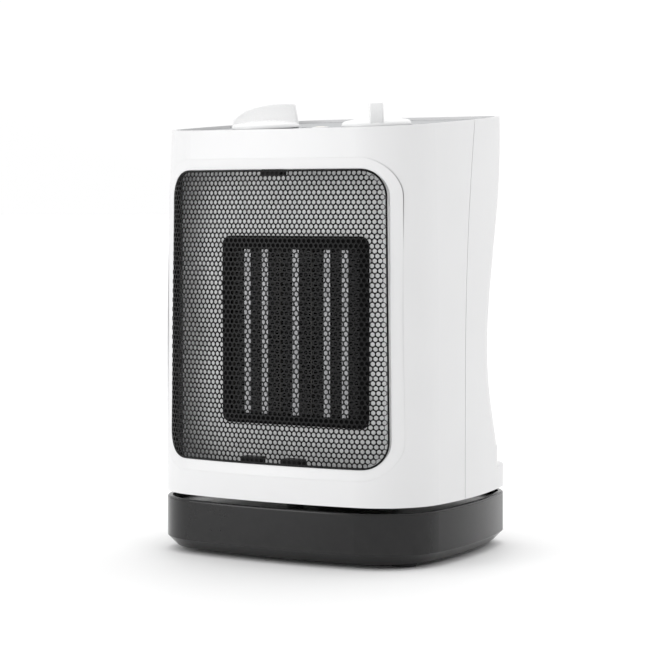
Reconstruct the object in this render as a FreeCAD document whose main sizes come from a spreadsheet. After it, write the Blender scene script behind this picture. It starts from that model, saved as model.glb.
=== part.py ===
import FreeCAD, Part
import math
import os
import re

import Sketcher
from FreeCAD import Placement, Rotation, Vector

# A ceramic tower heater that swings on its base.
# Frame: X across the front, Y from the front (-) to the back (+), Z up.
# The origin is on the floor, under the middle of the base.

doc = FreeCAD.newDocument("ceramic_heater")
sheet = doc.addObject("Spreadsheet::Sheet", "sizes")

SIZES = [
    # plan outline, shared by the body and the base
    ("body_width", 174.0, "widest point, side to side"),
    ("body_depth", 152.0, "front to back, at the foot of the body"),
    ("front_bow", 371.0, "radius of the bowed front"),
    ("side_bow", 254.0, "radius of the bowed sides"),
    ("rear_bow", 410.0, "radius of the bowed back"),
    ("front_corner", 38.0, "radius of the front corners"),
    ("rear_corner", 26.0, "radius of the rear corners"),
    ("widest_y", -16.6, "where the sides are widest"),
    # body
    ("wall", 2.5, "thickness of the shells"),
    ("body_bottom", 33.5, "lower edge of the body above the floor"),
    ("rim_front", 235.2, "upper edge of the body at the front"),
    ("rim_slope", 4.35, "degrees that the top rises to the back"),
    ("top_taper", 2.7, "how far the front and sides lean in at the rim"),
    ("taper_start", 123.0, "height where the lean begins"),
    ("waist_depth", 32.0, "how far the back is drawn in at the waist"),
    ("waist_height", 114.0, "height of the waist"),
    ("waist_rise", 136.0, "from the waist to where the back is full again"),
    ("waist_fall", 110.0, "length of the same curve below the waist"),
    ("plinth_top", 46.0, "top of the rear plinth"),
    ("ledge_top", 58.0, "top of the ledge on the plinth"),
    ("ledge_depth", 13.5, "how far the ledge stands in from the plinth"),
    ("seam_y", -9.2, "joint line of the two shells below the bend"),
    ("seam_bend", 105.0, "height where the joint line bends back"),
    ("seam_back", 18.2, "how far back the joint line is at the rim"),
    ("seam_gap", 0.5, "shadow gap along the joint line"),
    ("tongue", 1.2, "thickness of the lip behind the joint line"),
    ("tongue_reach", 4.0, "how far the lip stands forward"),
    # outlet
    ("outlet_width", 143.0, "width of the opening in the front"),
    ("outlet_low", 53.4, "its lower edge"),
    ("outlet_narrow", 1.3, "how much nearer the middle each side is at the top"),
    ("outlet_high", 213.8, "its upper edge"),
    ("outlet_corner", 15.2, "its corner radius"),
    ("bezel", 5.9, "width of the sunk border around it"),
    ("bezel_depth", 1.5, "depth of that border"),
    ("mesh_gap", 0.3, "between the shell and the mesh"),
    ("mesh_sheet", 0.8, "thickness of the mesh"),
    ("mesh_lap", 3.0, "how far the mesh reaches behind the border"),
    ("mesh_inset", 0.3, "from the surface of the front to the mesh"),
    ("clip_width", 12.0, "width of a mesh clip"),
    ("clip_height", 3.5, "height of a mesh clip"),
    ("clip_length", 8.0, "length of a mesh clip, front to back"),
    # intake
    ("intake_width", 104.0, "width of the opening in the back"),
    ("intake_low", 76.0, "its lower edge"),
    ("intake_high", 182.0, "its upper edge"),
    ("intake_corner", 10.0, "its corner radius"),
    ("intake_slot", 3.0, "height of one slot"),
    ("intake_pitch", 6.2, "from slot to slot"),
    ("intake_post", 5.0, "width of the upright bars"),
    # heater pack
    ("heater_width", 95.0, "outside of the heater frame"),
    ("heater_height", 104.6, "outside of the heater frame"),
    ("heater_middle", 125.0, "height of its centre, and of the fan's axis"),
    ("heater_front", -47.5, "front face of the frame"),
    ("heater_depth", 16.0, "front to back"),
    ("heater_border", 5.4, "width of the frame's border"),
    ("heater_brow", 7.4, "width of that border at the top"),
    ("heater_corner", 5.0, "corner radius of the frame"),
    ("bar_width", 4.1, "width of a ceramic bar"),
    ("bar_inner", 20.3, "first pair of bars from the centre line"),
    ("bar_outer", 32.0, "second pair of bars"),
    ("divider_x", 10.2, "insulating strips from the centre line"),
    ("divider_sheet", 0.8, "thickness of a strip"),
    ("fin_depth", 10.0, "front to back"),
    ("baffle_width", 152.0, "plate around the heater frame"),
    ("baffle_low", 50.0, "its lower edge"),
    ("baffle_high", 215.0, "its upper edge"),
    ("baffle_sheet", 2.0, "its thickness"),
    ("duct_wall", 1.6, "wall of the air duct"),
    ("cutout_radius", 8.0, "thermal cut-out"),
    ("cutout_height", 7.0, "thermal cut-out"),
    # fan
    ("shroud_y", -24.0, "front of the fan shroud"),
    ("shroud_length", 22.0, "length of its ring"),
    ("shroud_plate", 2.0, "thickness of its plate"),
    ("shroud_width", 150.0, "width of its plate"),
    ("shroud_height", 124.0, "height of its plate"),
    ("fan_radius", 49.0, "tip of the blades"),
    ("fan_tip_gap", 3.0, "between the blades and the ring"),
    ("fan_hub", 14.0, "radius of the hub"),
    ("fan_depth", 16.0, "length of the hub"),
    ("blade_sheet", 1.6, "thickness of a blade"),
    ("blade_pitch", 34.0, "degrees that a blade is turned"),
    ("motor_radius", 21.0, "fan motor can"),
    ("motor_length", 28.0, "fan motor can"),
    ("motor_shaft", 2.0, "radius of the motor shaft"),
    ("bush_radius", 5.0, "outside of the motor bushes"),
    ("bush_length", 4.0, "length of a bush"),
    ("bracket_sheet", 3.0, "thickness of the motor bracket"),
    ("bracket_arm", 9.0, "width of a bracket arm"),
    ("running", 0.05, "radial clearance of every turning or sliding fit"),
    # controls
    ("panel_recess", 1.6, "panel below the rim"),
    ("panel_sheet", 2.5, "thickness of the panel"),
    ("panel_gap", 0.15, "between the panel and the shells"),
    ("knob_x", 36.6, "knobs from the centre line"),
    ("knob_y", -19.8, "axis of the knobs at the panel"),
    ("knob_radius", 19.3, "skirt of a knob"),
    ("knob_skirt", 4.8, "height of the skirt"),
    ("knob_height", 14.0, "height of the whole knob"),
    ("knob_grip", 7.9, "thickness of the grip"),
    ("knob_lift", 0.4, "between the panel and the knob"),
    ("left_turn", 31.6, "degrees that the left knob is turned"),
    ("right_turn", -58.4, "degrees that the right knob is turned"),
    ("control_shaft", 3.0, "radius of the control shafts"),
    ("control_bush", 4.6, "radius of the threaded bushes"),
    ("control_size", 28.0, "width of the control housings"),
    ("control_depth", 17.0, "height of the control housings"),
    ("lens_radius", 3.2, "indicator lens"),
    ("lens_height", 0.8, "how far the lens stands proud"),
    ("lamp_radius", 2.5, "lamp under the lens"),
    ("lamp_length", 12.0, "lamp under the lens"),
    # base
    ("base_rim", 30.4, "upper edge of the base"),
    ("base_low", 2.6, "underside of the base, and height of the feet"),
    ("base_chamfer", 5.4, "bevel along the lower edge"),
    ("base_round", 1.0, "rounding along the upper edge"),
    ("base_wall", 2.8, "thickness of the base housing"),
    ("deck_top", 27.0, "top of the deck inside the rim"),
    ("deck_sheet", 2.5, "thickness of the deck"),
    ("plate_sheet", 2.5, "thickness of the bottom plate and the body floor"),
    ("plate_gap", 0.2, "around the bottom plate"),
    ("foot_radius", 7.5, "rubber feet"),
    ("foot_x", 68.0, "front feet"),
    ("foot_y", -43.5, "front feet"),
    ("rear_foot_x", 56.0, "rear feet"),
    ("rear_foot_y", 50.0, "rear feet"),
    ("base_screw_x", 68.0, "front pair of base screws"),
    ("base_screw_y", -14.0, "front pair of base screws"),
    ("rear_screw_x", 60.0, "rear pair of base screws"),
    ("rear_screw_y", 34.0, "rear pair of base screws"),
    ("screw_radius", 1.5, "shank of the screws"),
    ("screw_head", 3.0, "head of the screws"),
    ("screw_length", 14.0, "length of the screws"),
    ("boss_radius", 4.5, "screw bosses"),
    ("shell_screw_x", 48.0, "rear shell screws"),
    ("shell_screw_high", 222.0, "upper pair"),
    ("shell_screw_low", 41.8, "lower pair"),
    ("ballast_width", 96.0, "ballast plate"),
    ("ballast_depth", 40.0, "ballast plate"),
    ("ballast_height", 5.0, "ballast plate"),
    ("ballast_y", -60.0, "front edge of the ballast plate"),
    # swing
    ("pivot_radius", 14.0, "hollow pivot of the base"),
    ("pivot_bore", 9.0, "way for the wires"),
    ("pivot_top", 45.0, "top of the pivot"),
    ("track_inner", 24.0, "track under the body"),
    ("track_outer", 30.0, "track under the body"),
    ("track_top", 32.5, "track under the body"),
    ("glide_height", 1.0, "thickness of the glide ring"),
    ("swing_gap", 0.3, "between parts that slide over each other"),
    ("retainer_radius", 22.0, "washer that keeps the body down"),
    ("retainer_height", 2.0, "washer that keeps the body down"),
    ("crank_y", 40.0, "axis of the crank behind the pivot"),
    ("crank_throw", 25.0, "from the crank's axis to its pin"),
    ("crank_sheet", 3.0, "thickness of the crank arm"),
    ("crank_hub", 7.0, "radius of the crank hub"),
    ("crank_end", 5.5, "radius of the arm's end"),
    ("crank_lift", 1.2, "between the deck and the arm"),
    ("pin_radius", 2.5, "crank pin"),
    ("pin_play", 1.9, "between the pin and its slot, each side"),
    ("drive_radius", 24.5, "swing motor"),
    ("drive_height", 14.0, "swing motor"),
    ("drive_shaft", 3.5, "radius of its shaft"),
    ("drive_hole", 6.0, "hole for it in the deck"),
    # tip-over switch
    ("tip_x", -50.0, "tip-over switch"),
    ("tip_y", 12.0, "tip-over switch"),
    ("tip_radius", 3.5, "plunger"),
    ("tip_flange", 5.5, "collar on the plunger"),
    ("tip_travel", 4.0, "travel of the plunger"),
    ("tip_stem", 1.6, "upper end of the plunger"),
    ("switch_width", 26.0, "switch housing"),
    ("switch_depth", 12.0, "switch housing"),
    ("switch_height", 5.5, "switch housing"),
    ("spring_wire", 0.6, "wire of the plunger spring"),
    ("spring_radius", 3.6, "middle radius of the spring"),
    # supply
    ("gland_x", 38.0, "cord gland"),
    ("gland_z", 16.0, "cord gland"),
    ("gland_radius", 6.5, "outside of the gland"),
    ("gland_bore", 3.8, "way for the cord"),
    ("gland_length", 7.0, "front to back"),
    ("terminal_width", 26.0, "terminal block"),
    ("terminal_depth", 14.0, "terminal block"),
    ("terminal_height", 11.0, "terminal block"),
]
BLADES = 7
SECTIONS = 11

for row, (alias, number, note) in enumerate(SIZES, start=1):
    sheet.set("A%d" % row, str(number))
    sheet.setAlias("A%d" % row, alias)
    sheet.set("B%d" % row, note)
doc.recompute()
ALIASES = {alias for alias, number, note in SIZES}
PARTS = []


def size(alias):
    """The number in the sheet under this alias."""
    return float(sheet.get(alias))


def expr(text):
    """The expression with each alias written as a cell of the sheet."""
    def cell(word):
        return "sizes." + word.group() if word.group() in ALIASES else word.group()

    return re.sub(r"[a-z_]+", cell, text)


def bind(thing, **expressions):
    """Ties properties to the sheet; x, y and z stand for the place."""
    for key, text in expressions.items():
        path = "Placement.Base." + key if key in "xyz" else key
        thing.setExpression(path, expr(text))
    return thing


def keep(thing, label):
    """Marks a document object as a finished sub-part."""
    thing.Label = label
    PARTS.append(thing)
    return thing


# ---------- bound building blocks ----------

TURN = {"z": Rotation(), "y": Rotation(Vector(1, 0, 0), -90), "x": Rotation(Vector(0, 1, 0), 90)}


def block(name, x, y, z):
    """A box between two faces along each axis."""
    box = doc.addObject("Part::Box", name)
    bind(box, Length="(%s) - (%s)" % (x[1], x[0]), Width="(%s) - (%s)" % (y[1], y[0]))
    bind(box, Height="(%s) - (%s)" % (z[1], z[0]), x=x[0], y=y[0], z=z[0])
    return box


def rod(name, radius, at, length, axis="z"):
    """A cylinder from a point along an axis."""
    cylinder = doc.addObject("Part::Cylinder", name)
    cylinder.Placement = Placement(Vector(), TURN[axis])
    bind(cylinder, Radius=radius, Height=length, x=at[0], y=at[1], z=at[2])
    return cylinder


def fuse(name, *things):
    joined = doc.addObject("Part::MultiFuse", name)
    joined.Shapes = list(things)
    return joined


def cut(name, base, *tools):
    result = doc.addObject("Part::Cut", name)
    result.Base = base
    result.Tool = tools[0] if len(tools) == 1 else fuse(name + "_tools", *tools)
    return result


def group(name, things):
    together = doc.addObject("Part::Compound", name)
    together.Links = list(things)
    return together


def shaped(name, shape):
    """A sub-part whose doubly curved shape comes from the outline functions."""
    feature = doc.addObject("Part::Feature", name)
    feature.Shape = shape
    return feature


# ---------- PartDesign helpers ----------

def origin_plane(body, role):
    return [item for item in body.Origin.OriginFeatures if item.Role == role][0]


def sketch_on(body, role, name):
    sketch = body.newObject("Sketcher::SketchObject", name)
    sketch.AttachmentSupport = [(origin_plane(body, role), "")]
    sketch.MapMode = "FlatFace"
    return sketch


def polygon(sketch, points):
    """A closed outline whose corners are bound to the sheet, as pairs of expressions."""
    numbers = [(number_of(u), number_of(v)) for u, v in points]
    count = len(points)
    for index in range(count):
        start, end = numbers[index], numbers[(index + 1) % count]
        sketch.addGeometry(Part.LineSegment(Vector(*start, 0), Vector(*end, 0)), False)
    for index in range(count):
        sketch.addConstraint(Sketcher.Constraint("Coincident", index, 2, (index + 1) % count, 1))
    for index, (u, v) in enumerate(points):
        across, up = numbers[index]
        for kind, text, number in (("DistanceX", u, across), ("DistanceY", v, up)):
            place = sketch.addConstraint(Sketcher.Constraint(kind, -1, 1, index, 1, number))
            sketch.setExpression("Constraints[%d]" % place, expr(text))


def number_of(text):
    """The value of an expression in the sheet's aliases."""
    return float(sheet.evalExpression(expr(text).replace("sizes.", "")))


def turned(name, points):
    """A body turned about Z from half its section, given as radius and height."""
    body = doc.addObject("PartDesign::Body", name)
    sketch = sketch_on(body, "XZ_Plane", name + "_section")
    polygon(sketch, points)
    revolution = body.newObject("PartDesign::Revolution", name + "_turn")
    revolution.Profile = sketch
    revolution.ReferenceAxis = (sketch, ["V_Axis"])
    revolution.Angle = 360
    body.Tip = revolution
    return body


# ---------- the plan outline and what is lofted from it ----------

def meeting(first, first_radius, second, second_radius):
    """The point at the given distances from two centres, on their +X side."""
    gap = second - first
    distance = gap.Length
    along = (distance ** 2 + first_radius ** 2 - second_radius ** 2) / (2 * distance)
    across = math.sqrt(first_radius ** 2 - along ** 2)
    foot = first + gap * (along / distance)
    side = Vector(-gap.y, gap.x, 0) * (across / distance)
    return max(foot + side, foot - side, key=lambda point: point.x)


def plan_wire(height, inset, rear_in=0.0):
    """The outline at a height, as eight tangent arcs; inset moves it inwards all round."""
    half_depth = size("body_depth") / 2
    bows = [
        (Vector(0, size("front_bow") - half_depth, 0), size("front_bow")),
        (Vector(size("body_width") / 2 - size("side_bow"), size("widest_y"), 0), size("side_bow")),
        (Vector(0, half_depth - rear_in - size("rear_bow"), 0), size("rear_bow")),
    ]
    arcs = []
    start = Vector(0, -1, 0)
    for (centre, radius), (after, after_radius), corner in (
        (bows[0], bows[1], size("front_corner")),
        (bows[1], bows[2], size("rear_corner")),
    ):
        middle = meeting(centre, radius - corner, after, after_radius - corner)
        to_corner = (middle - centre).normalize()
        from_corner = (middle - after).normalize()
        arcs.append((centre, radius - inset, start, to_corner))
        arcs.append((middle, corner - inset, to_corner, from_corner))
        start = from_corner
    arcs.append((bows[2][0], bows[2][1] - inset, start, Vector(0, 1, 0)))
    right = [arc_edge(height, *arc) for arc in arcs]
    left = [edge.mirror(Vector(), Vector(1, 0, 0)) for edge in right]
    front = arc_edge(height, arcs[0][0], arcs[0][1], mirrored(arcs[0][3]), arcs[0][3])
    rear = arc_edge(height, arcs[-1][0], arcs[-1][1], arcs[-1][2], mirrored(arcs[-1][2]))
    ring = [front] + right[1:-1] + [rear] + left[1:-1]
    return Part.Wire(Part.__sortEdges__(ring))


def mirrored(vector):
    return Vector(-vector.x, vector.y, vector.z)


def arc_edge(height, centre, radius, start, end):
    middle = (start + end).normalize()
    points = [centre + way * radius + Vector(0, 0, height) for way in (start, middle, end)]
    return Part.Arc(*points).toShape()


def prism(low, high, inset, rear_in=0.0):
    """The plan outline drawn straight up."""
    face = Part.Face(plan_wire(low, inset, rear_in))
    return face.extrude(Vector(0, 0, high - low))


def waist_in(height):
    """How far the back is drawn in at a height."""
    rise = height - size("waist_height")
    span = size("waist_rise") if rise > 0 else size("waist_fall")
    return size("waist_depth") / 2 * (1 + math.cos(math.pi * min(abs(rise) / span, 1)))


def lean_in(height):
    """How far the front and sides lean in at a height."""
    share = (height - size("taper_start")) / (size("rim_front") - size("taper_start"))
    return size("top_taper") * max(share, 0) ** 1.5


def tower(inset, start):
    """The waisted upper body, from a height to well above the rim."""
    top = rim_height(size("body_depth") / 2) + 12
    wires = []
    for index in range(SECTIONS):
        height = start + (top - start) * index / (SECTIONS - 1)
        lean = lean_in(height)
        wires.append(plan_wire(height, inset + lean, waist_in(height) - lean))
    return Part.makeLoft(wires, True, False)


def rim_height(y, drop=0.0):
    """Height of the sloped rim plane at a place, less a drop."""
    slope = math.tan(math.radians(size("rim_slope")))
    return size("rim_front") + slope * (y + size("body_depth") / 2) - drop


def side_slab(edges, half_width=140.0):
    """A region drawn in the YZ plane and carried across the whole width."""
    face = Part.Face(Part.Wire(Part.__sortEdges__(edges)))
    face.translate(Vector(-half_width, 0, 0))
    return face.extrude(Vector(2 * half_width, 0, 0))


def line(*points):
    """Straight edges through points given as (y, z)."""
    places = [Vector(0, y, z) for y, z in points]
    return [Part.LineSegment(a, b).toShape() for a, b in zip(places, places[1:])]


def below_rim(drop=0.0):
    """Everything under the rim plane, lowered by a drop."""
    reach = 150.0
    return side_slab(line((-reach, 0), (reach, 0), (reach, rim_height(reach, drop)),
                          (-reach, rim_height(-reach, drop)), (-reach, 0)))


def seam_radius():
    rise = rim_height(0) - size("seam_bend")
    return (rise ** 2 + size("seam_back") ** 2) / (2 * size("seam_back"))


def seam_at(height, shift):
    """Y of the joint line at a height, moved back by a shift."""
    rise = max(height - size("seam_bend"), 0)
    radius = seam_radius()
    return size("seam_y") + shift + radius - math.sqrt(radius ** 2 - rise ** 2)


def ahead_of_seam(shift):
    """The region in front of the joint line, moved back by a shift."""
    reach, top = 150.0, 290.0
    bend = size("seam_bend")
    points = [Vector(0, seam_at(height, shift), height) for height in (bend, (bend + top) / 2, top)]
    edges = line((seam_at(bend, shift), bend), (seam_at(0, shift), 0), (-reach, 0), (-reach, top),
                 (seam_at(top, shift), top))
    return side_slab(edges + [Part.Arc(*points).toShape()])


def window(width, low, high, corner, front, back, grow=0.0, narrow=0.0):
    """A round-cornered prism along Y, which may be narrower at the top."""
    half, low, high, corner = width / 2 + grow, low - grow, high + grow, corner + grow
    top = half - narrow
    corners = [(top - corner, high - corner, 45), (-top + corner, high - corner, 135),
               (-half + corner, low + corner, 225), (half - corner, low + corner, 315)]
    edges = []
    ends = []
    for x, z, middle in corners:
        places = []
        for angle in (middle - 45, middle, middle + 45):
            turn = math.radians(angle)
            places.append(Vector(x + corner * math.cos(turn), front, z + corner * math.sin(turn)))
        edges.append(Part.Arc(*places).toShape())
        ends.append((places[0], places[2]))
    for index in range(4):
        edges.append(Part.LineSegment(ends[index][1], ends[(index + 1) % 4][0]).toShape())
    face = Part.Face(Part.Wire(Part.__sortEdges__(edges)))
    return face.extrude(Vector(0, back - front, 0))


def outlet_window(front, back, grow=0.0):
    return window(size("outlet_width"), size("outlet_low"), size("outlet_high"), size("outlet_corner"),
                  front, back, grow, size("outlet_narrow"))


def intake_window(front, back, grow=0.0):
    return window(size("intake_width"), size("intake_low"), size("intake_high"), size("intake_corner"),
                  front, back, grow)


def heater_window(front, back, grow=0.0):
    middle = size("heater_middle")
    half = size("heater_height") / 2
    return window(size("heater_width"), middle - half, middle + half, size("heater_corner"),
                  front, back, grow)


def body_mass(inset):
    """The body as one closed form: plinth, ledge and waisted tower, all inset alike."""
    low, plinth, ledge = size("body_bottom"), size("plinth_top") - inset, size("ledge_top") - inset
    foot = prism(low, plinth, inset)
    step = prism(plinth, ledge, inset, size("ledge_depth"))
    return foot.fuse([step, tower(inset, ledge)]).removeSplitter()


# ---------- the two shells, the panel and the grilles ----------

def screw_bosses(outer):
    """Tubes behind the back wall for the shell screws, trimmed to the body."""
    bosses = []
    for x, height, back in shell_screw_places():
        tube = Part.makeCylinder(size("boss_radius"), 18, Vector(x, back - 18, height), Vector(0, 1, 0))
        bosses.append(tube.common(outer))
    return bosses


def shell_screw_places():
    """X, height and the back surface's Y of each shell screw."""
    places = []
    for height in (size("shell_screw_low"), size("shell_screw_high")):
        drawn_in = waist_in(height) if height > size("ledge_top") else 0.0
        for side in (-1, 1):
            x = side * size("shell_screw_x")
            bow = size("rear_bow") - math.sqrt(size("rear_bow") ** 2 - x ** 2)
            places.append((x, height, size("body_depth") / 2 - drawn_in - bow))
    return places


def make_shells():
    wall, gap = size("wall"), size("seam_gap") / 2
    outer = body_mass(0).common(below_rim())
    hollow = body_mass(wall)
    neck = prism(size("body_bottom") - 1, size("plinth_top") - wall - 1, wall)
    front = outer.common(ahead_of_seam(-gap)).cut(hollow).cut(neck)
    border = outlet_window(-120, -30, size("bezel")).cut(body_mass(size("bezel_depth")))
    front = front.cut(border).cut(outlet_window(-120, -30))
    keep(shaped("front_shell", front), "front_shell")

    lip = hollow.common(ahead_of_seam(6)).cut(ahead_of_seam(-size("tongue_reach")))
    lip = lip.common(below_rim(10)).cut(Part.makeBox(300, 300, size("ledge_top"), Vector(-150, -150, 0)))
    back = outer.cut(ahead_of_seam(gap)).fuse(lip)
    back = back.cut(body_mass(wall + size("tongue")).common(ahead_of_seam(20)))
    back = back.cut(hollow.cut(ahead_of_seam(6))).cut(hollow.cut(below_rim(10)))
    back = back.cut(neck)
    back = back.cut(intake_window(0, 120))
    for boss in screw_bosses(outer):
        back = back.fuse(boss)
    for x, height, surface in shell_screw_places():
        back_way = Vector(0, 1, 0)
        sunk = Part.makeCylinder(size("screw_head") + 0.3, 8, Vector(x, surface - 4, height), back_way)
        bore = Part.makeCylinder(size("screw_radius"), 30, Vector(x, surface - 20, height), back_way)
        back = back.cut(sunk).cut(bore)
    keep(shaped("rear_shell", back), "rear_shell")


def make_intake_grille():
    skin = body_mass(0.4).cut(body_mass(size("wall"))).common(intake_window(0, 120, -size("panel_gap")))
    slots = []
    low, high = size("intake_low") + 5, size("intake_high") - 5
    rows = int((high - low) / size("intake_pitch"))
    column = (size("intake_width") - 4 * size("intake_post")) / 3
    for row in range(rows):
        for index in (-1, 0, 1):
            x = index * (column + size("intake_post")) - column / 2
            corner = Vector(x, 0, low + row * size("intake_pitch"))
            slots.append(Part.makeBox(column, 120, size("intake_slot"), corner))
    keep(shaped("rear_grille", skin.cut(slots)), "rear_grille")


def make_mesh():
    """A pan that fills the opening, with a flange behind the border."""
    sheet, inset = size("mesh_sheet"), size("mesh_inset")
    flange_front = size("wall") + size("mesh_gap")
    flange_back = flange_front + sheet
    outside = outlet_window(-120, -30, -size("mesh_gap"))
    inside = outlet_window(-120, -30, -size("mesh_gap") - sheet)
    pan = body_mass(inset).common(outside).cut(body_mass(inset + sheet).common(inside))
    flange = body_mass(flange_front).common(outlet_window(-120, -30, size("mesh_lap"))).cut(inside)
    grille = pan.fuse(flange).cut(body_mass(flange_back)).removeSplitter()
    keep(shaped("front_grille", grille), "front_grille")


def make_panel():
    inset = size("wall") + size("panel_gap")
    drop = size("panel_recess")
    plate = body_mass(inset).common(below_rim(drop)).cut(below_rim(drop + size("panel_sheet")))
    lens_hole = Part.makeCylinder(size("lens_radius") + size("running"), 20, Vector(0, 0, -10))
    plate = plate.cut(tilted(lens_hole, 0))
    for side in (-1, 1):
        hole = Part.makeCylinder(size("control_bush") + size("running"), 20, Vector(0, 0, -10))
        plate = plate.cut(tilted(hole, side * size("knob_x")))
    keep(shaped("control_panel", plate), "control_panel")


def tilted(shape, x, turn=0.0):
    """A shape made upright at the origin, set square on the panel's top face on the knobs' line."""
    shape.Placement = panel_place(x, turn)
    return shape


def panel_place(x, turn=0.0):
    drop = size("panel_recess")
    upright = Rotation(Vector(1, 0, 0), size("rim_slope")) * Rotation(Vector(0, 0, 1), turn)
    return Placement(Vector(x, size("knob_y"), rim_height(size("knob_y"), drop)), upright)


# ---------- heater pack ----------

def make_baffle():
    width, low, high = size("baffle_width"), size("baffle_low"), size("baffle_high")
    corner = Vector(-width / 2, size("heater_front") + 1.5, low)
    plate = Part.makeBox(width, size("baffle_sheet"), high - low, corner)
    plate = plate.cut(heater_window(-100, 0, size("panel_gap")))
    keep(shaped("inner_baffle", plate), "inner_baffle")


def make_heater():
    front, depth = size("heater_front"), size("heater_depth")
    border = size("heater_border")
    width = size("heater_width") - 2 * border
    height = size("heater_height") - border - size("heater_brow")
    corner = Vector(-width / 2, front - 1, size("heater_middle") - size("heater_height") / 2 + border)
    frame = heater_window(front, front + depth).cut(Part.makeBox(width, depth + 2, height, corner))
    keep(shaped("heater_frame", frame), "heater_frame")

    reach = "heater_height / 2"
    z = ("heater_middle - %s + heater_border" % reach, "heater_middle + %s - heater_brow" % reach)
    bar_y = ("heater_front + 2", "heater_front + heater_depth - 2")
    fin_y = ("heater_front + 3", "heater_front + 3 + fin_depth")
    bars = []
    bar_places = ("-bar_outer", "-bar_inner", "0", "bar_inner", "bar_outer")
    for name, x in zip("abcde", bar_places):
        bars.append(block("bar_" + name, (x + " - bar_width / 2", x + " + bar_width / 2"), bar_y, z))
    keep(group("ceramic_bars_group", bars), "ceramic_bars")

    half = "divider_sheet / 2"
    edge = "heater_width / 2 - heater_border"
    strips = []
    for name, low, high in (
        ("a", "-(%s)" % edge, "-(%s) + divider_sheet" % edge),
        ("b", "-divider_x - " + half, "-divider_x + " + half),
        ("c", "divider_x - " + half, "divider_x + " + half),
        ("d", "%s - divider_sheet" % edge, edge),
    ):
        strips.append(block("strip_" + name, (low, high), bar_y, z))
    keep(group("insulating_strips_group", strips), "insulating_strips")

    fins = []
    bar = "bar_width / 2"
    for name, low, high in (
        ("outer", "bar_outer + " + bar, "%s - divider_sheet" % edge),
        ("pair", "bar_inner + " + bar, "bar_outer - " + bar),
        ("inner", "divider_x + " + half, "bar_inner - " + bar),
        ("core", bar, "divider_x - " + half),
    ):
        fins.append(block("fins_right_" + name, (low, high), fin_y, z))
        fins.append(block("fins_left_" + name, ("-(%s)" % high, "-(%s)" % low), fin_y, z))
    keep(group("fin_stacks_group", fins), "fin_stacks")

    tabs = []
    top = z[1]
    for name, x in (("a", "-bar_outer"), ("b", "0"), ("c", "bar_outer")):
        tabs.append(block("tab_" + name, (x + " - 2.5", x + " + 2.5"),
                          ("heater_front + heater_depth - 2", "shroud_y - 0.5"),
                          (top + " - 9", top + " - 8.2")))
    keep(group("heater_tabs_group", tabs), "heater_tabs")


def make_duct():
    front, back = size("heater_front") + size("heater_depth"), size("shroud_y")
    tube = heater_window(front, back).cut(heater_window(front - 1, back + 1, -size("duct_wall")))
    keep(shaped("air_duct", tube), "air_duct")
    top = "heater_middle + heater_height / 2"
    disc = rod("cutout_can", "cutout_radius", ("0", "shroud_y - cutout_radius - 0.5", top), "cutout_height")
    keep(disc, "thermal_cutout")


# ---------- fan ----------

def make_fan():
    middle, front = "heater_middle", "shroud_y"
    ring_outer = "fan_radius + fan_tip_gap + 2"
    ring = rod("shroud_ring", ring_outer, ("0", front, middle), "shroud_length", "y")
    across = ("-shroud_width / 2", "shroud_width / 2")
    upright = ("heater_middle - shroud_height / 2", "heater_middle + shroud_height / 2")
    plate = block("shroud_board", across, (front, "shroud_y + shroud_plate"), upright)
    start = ("0", front + " - 1", middle)
    bore = rod("shroud_bore", "fan_radius + fan_tip_gap", start, "shroud_length + 2", "y")
    keep(cut("fan_shroud_body", fuse("shroud_solid", ring, plate), bore), "fan_shroud")

    back = "shroud_y + shroud_length"
    spider_y = (back, back + " + bracket_sheet")
    reach = ring_outer
    arms = [
        block("bracket_level", ("-(%s)" % reach, reach), spider_y,
              ("heater_middle - bracket_arm / 2", "heater_middle + bracket_arm / 2")),
        block("bracket_upright", ("-bracket_arm / 2", "bracket_arm / 2"), spider_y,
              ("heater_middle - (%s)" % reach, "heater_middle + (%s)" % reach)),
        rod("bracket_disc", "motor_radius + 3", ("0", back, middle), "bracket_sheet", "y"),
    ]
    eye = rod("bracket_eye", "motor_shaft + 1", ("0", back + " - 1", middle), "bracket_sheet + 2", "y")
    keep(cut("motor_bracket_body", fuse("bracket_solid", *arms), eye), "motor_bracket")

    can_y = back + " + bracket_sheet"
    can = rod("motor_can", "motor_radius", ("0", can_y, middle), "motor_length", "y")
    way = rod("motor_way", "bush_radius", ("0", can_y + " - 1", middle), "motor_length + 2", "y")
    keep(cut("fan_motor_body", can, way), "fan_motor")
    bushes = []
    for name, start in (("front", can_y), ("back", can_y + " + motor_length - bush_length")):
        solid = rod("bush_%s_solid" % name, "bush_radius", ("0", start, middle), "bush_length", "y")
        hole = rod("bush_%s_hole" % name, "motor_shaft + running", ("0", start + " - 1", middle),
                   "bush_length + 2", "y")
        bushes.append(cut("bush_" + name, solid, hole))
    keep(group("motor_bushes_group", bushes), "motor_bushes")
    shaft = rod("shaft_rod", "motor_shaft", ("0", "shroud_y + 2", middle),
                "shroud_length + bracket_sheet + motor_length - 1", "y")
    keep(shaft, "motor_shaft")
    keep(shaped("fan_impeller", impeller()), "fan_impeller")


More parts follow.
